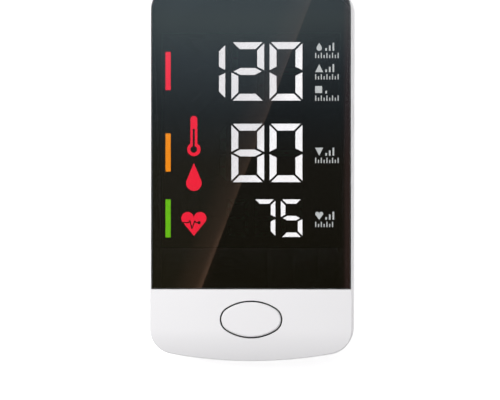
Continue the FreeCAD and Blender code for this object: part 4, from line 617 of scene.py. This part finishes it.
def figure_joints():
    """Dark lines across the joints between the strokes of the figures."""
    lines = []
    figures_right, rows = figure_rows()
    for foot, figure, count in rows:
        reach = figure.stroke * LINE_IN
        middle = foot + figure.high / 2
        for place in range(count):
            right = figures_right - figure.pitch * place
            corner_line = JOINT_LINE
            if place == ONE_PLACE:
                corner_line = END_LINE
                lines.append(bar(right - ONE_TRIM, foot, 3 * ONE_TRIM, figure.high))
            for side, way in ((right - figure.wide, 1), (right, -1)):
                for edge, turn in ((foot, 1), (foot + figure.high, -1)):
                    lines += joint_line(side, edge, way, turn, reach, corner_line)
                for turn in (MIDDLE_SLOPE, -MIDDLE_SLOPE):
                    lines += joint_line(side, middle, way, turn, reach, JOINT_LINE)
    return lines


def icon_masks():
    """The thermometer's hollow and the heart's beat."""
    hole = ring_points(STEM_U, BULB_V, BULB_HOLE)
    slit = bar(STEM_U - SLIT_WIDE / 2, BULB_V, SLIT_WIDE, SLIT_HEAD - BULB_V)
    beat = [(u, BEAT_V + rise) for u, rise in BEAT]
    dot = ring_points(*beat[-1], BEAT_DOT, steps=14)
    return [hole, slit, dot] + stroke(beat, BEAT_LINE)


def make_masks():
    """Dark prints over the lit icons and figures."""
    dark = plain("mask_black", (0.012, 0.010, 0.010), 0.7, Specular_IOR_Level=0.1)
    film_top = face_box("display_film")[1].z
    plate("icon_masks", icon_masks(), film_top, film_top + PRINT, dark)
    plate("figure_joints", figure_joints(), film_top, film_top + PRINT, dark)


# ---------------------------------------------------------------- light card
# the card hangs over the face and leans with it; its sizes and places are in metres,
# as x and y of its own plane, whose origin is over the face's middle
CARD_HEIGHT = 0.9
CARD_HALF = 0.17
CARD_MIDDLE = (-0.045, 0.03)

# its light from the lower to the upper height: share of the way, and colour
COLOURS_LOW = -0.06
COLOURS_HIGH = 0.12
COLOURS = ((0.0, (0.22, 0.185, 0.10)), (0.39, (0.285, 0.265, 0.20)), (0.56, (0.345, 0.42, 0.455)),
           (0.74, (0.65, 0.83, 0.95)), (0.87, (0.98, 1.25, 1.33)), (1.0, (1.05, 1.37, 1.6)))

# warm flare on the bright side of the slanting edge: a wide one, and a crisp line CRISP times
# as strong; each fades between the heights FLARE_LOW and its own, down to its own share
EDGE_BLUR = 0.0003
FLARE = (0.40, 0.21, 0.14)
FLARE_LOW = -0.05
FLARE_WIDE = 0.017
FLARE_HIGH = 0.01
FLARE_LEAST = 0.65
CRISP = 2.2
CRISP_WIDE = 0.0035
CRISP_HIGH = -0.02
CRISP_LEAST = 0.35

# beyond the edge its light is dimmed to a share, by the most up to the lower height
DIM_LOW = 0.062
DIM_HIGH = 0.098
DIM_MOST = 0.6
DIM_LEAST = 0.82

# faint reddish strip from here to the right
STRIP_START = 0.0124
STRIP_BLUR = 0.001
STRIP = (0.34, 0.16, 0.16)


def mirrored(u, v, eye):
    """Where the card is met by the eye's ray that the lens reflects at (u, v), in metres."""
    share = CARD_HEIGHT / (eye.z * MM)
    return (u + (u - eye.x) * share) * MM, (v + (v - eye.y) * share) * MM


def card_colours(look, y):
    """The card's colours from its lower to its upper height."""
    ramp = look.add("ShaderNodeValToRGB")
    steps = ramp.color_ramp.elements
    steps.remove(steps[1])
    for number, (spot, colour) in enumerate(COLOURS):
        step = steps[0] if number == 0 else steps.new(spot)
        step.position = spot
        step.color = (*colour, 1.0)
    look.put(look.between(y, 0.0, 1.0, COLOURS_LOW, COLOURS_HIGH), ramp.inputs["Fac"])
    return ramp.outputs["Color"]


def card_flare(look, over_edge, y):
    """Strength of the flare, wide and crisp together, by the way over the edge and the height."""
    wide = look.between(over_edge, 1.0, 0.0, 0.0, FLARE_WIDE)
    crisp = look.math("MULTIPLY", look.between(over_edge, CRISP, 0.0, 0.0, CRISP_WIDE),
                      look.between(y, 1.0, CRISP_LEAST, FLARE_LOW, CRISP_HIGH))
    fade = look.between(y, 1.0, FLARE_LEAST, FLARE_LOW, FLARE_HIGH)
    return look.math("MULTIPLY", look.math("ADD", wide, crisp), fade)


def card_light(camera):
    """Graded light whose slanting edge is seen in the lens where the photograph has it."""
    eye = FACE.inverted() @ camera.matrix_world.translation
    start, end = [mirrored(u, v, eye) for u, v in EDGE_ON_FACE]
    across = Vector((*square_to(start, end), 0.0))
    look = Surface("card_light")
    x = look.coordinate(look.place, "X")
    y = look.coordinate(look.place, "Y")
    over_edge = look.math("SUBTRACT", look.vector("DOT_PRODUCT", look.place, across),
                          across.dot(Vector((*start, 0.0))))
    bright = look.between(over_edge, 0.0, 1.0, -EDGE_BLUR, EDGE_BLUR)
    dim = look.between(y, DIM_MOST, DIM_LEAST, DIM_LOW, DIM_HIGH)
    light = look.vector("SCALE", card_colours(look, y), look.math("MAXIMUM", bright, dim))
    flare = look.math("MULTIPLY", bright, card_flare(look, over_edge, y))
    strip = look.between(x, 0.0, 1.0, STRIP_START - STRIP_BLUR, STRIP_START + STRIP_BLUR)
    for colour, amount in ((FLARE, flare), (STRIP, strip)):
        light = look.vector("ADD", light, look.vector("SCALE", colour, amount))

    lamp = look.fill(look.add("ShaderNodeEmission"), Color=light)
    look.put(lamp.outputs[0], look.tree.nodes["Material Output"].inputs["Surface"])
    return look.material


def level_square(name, x, y, half, material):
    """A level square about (x, y), one face, looking up."""
    corners = [(x - half, y - half, 0), (x + half, y - half, 0), (x + half, y + half, 0),
               (x - half, y + half, 0)]
    mesh = bpy.data.meshes.new(name)
    mesh.from_pydata(corners, [], [(0, 1, 2, 3)])
    mesh.materials.append(material)
    piece = bpy.data.objects.new(name, mesh)
    bpy.context.scene.collection.objects.link(piece)
    return piece


def make_card(camera):
    """Softbox over the face, unseen but in reflections and as light."""
    card = level_square("light_card", *CARD_MIDDLE, CARD_HALF, card_light(camera))
    card.data.flip_normals()
    card.matrix_world = Matrix.Translation(FACE_MIDDLE + W_WAY * CARD_HEIGHT) @ LEAN
    card.visible_camera = False


# ---------------------------------------------------------------- studio
LAMP_PLACE = Vector((-0.22, 0.05, 0.50))
LAMP_AIM = Vector((0.0, -0.02, 0.03))
LAMP_SIZE = 0.20
LAMP_POWER = 1.6

FLOOR_HALF = 6.0
FLOOR_WHITES = ((0.86, 0.86, 0.865), (0.875, 0.875, 0.88))
FLOOR_GLOW = 0.66

# strength of the world's light from the user's side and from behind
SKY_NEAR = 0.22
SKY_FAR = 0.78


def make_lamp():
    """Square lamp over the left side."""
    data = bpy.data.lights.new("key_left", "AREA")
    data.shape = "RECTANGLE"
    data.size = LAMP_SIZE
    data.size_y = LAMP_SIZE
    data.energy = LAMP_POWER
    lamp = bpy.data.objects.new("key_left", data)
    lamp.location = LAMP_PLACE
    lamp.rotation_euler = (LAMP_AIM - LAMP_PLACE).to_track_quat("-Z", "Y").to_euler()
    bpy.context.scene.collection.objects.link(lamp)


def make_floor():
    """Pale floor: white to the camera where nothing shades it."""
    look = Surface("floor_white")
    path = look.add("ShaderNodeLightPath").outputs
    mirror = look.math("MAXIMUM", path["Is Glossy Ray"], path["Is Transmission Ray"])
    seen = look.math("MAXIMUM", path["Is Camera Ray"], mirror)
    glow = look.math("MULTIPLY", seen, FLOOR_GLOW)
    look.shade(Base_Color=look.mix(look.noise(3.0), *FLOOR_WHITES), Roughness=0.9,
               Emission_Color=(1.0, 1.0, 1.0, 1.0), Emission_Strength=glow, Specular_IOR_Level=0.0)
    floor = level_square("floor", 0.0, 0.0, FLOOR_HALF, look.material)


def make_world():
    """Soft light, brighter from behind than from the user's side; white behind the object."""
    world = bpy.data.worlds.new("studio")
    bpy.context.scene.world = world
    world.use_nodes = True
    sky = Nodes(world.node_tree)
    way = sky.add("ShaderNodeTexCoord").outputs["Generated"]
    level = sky.between(sky.coordinate(way, "Y"), SKY_NEAR, SKY_FAR, -1.0, 1.0)
    seen = sky.add("ShaderNodeLightPath").outputs["Is Camera Ray"]
    sky.fill(sky.tree.nodes["Background"], Color=(1.0, 1.0, 1.0, 1.0),
             Strength=sky.math("MAXIMUM", level, seen))


def make_studio(camera):
    make_floor()
    make_world()
    make_card(camera)
    make_lamp()
    bpy.context.scene.view_settings.view_transform = "Standard"


camera = make_camera()
dress_nodes()
make_signs()
make_masks()
make_studio(camera)
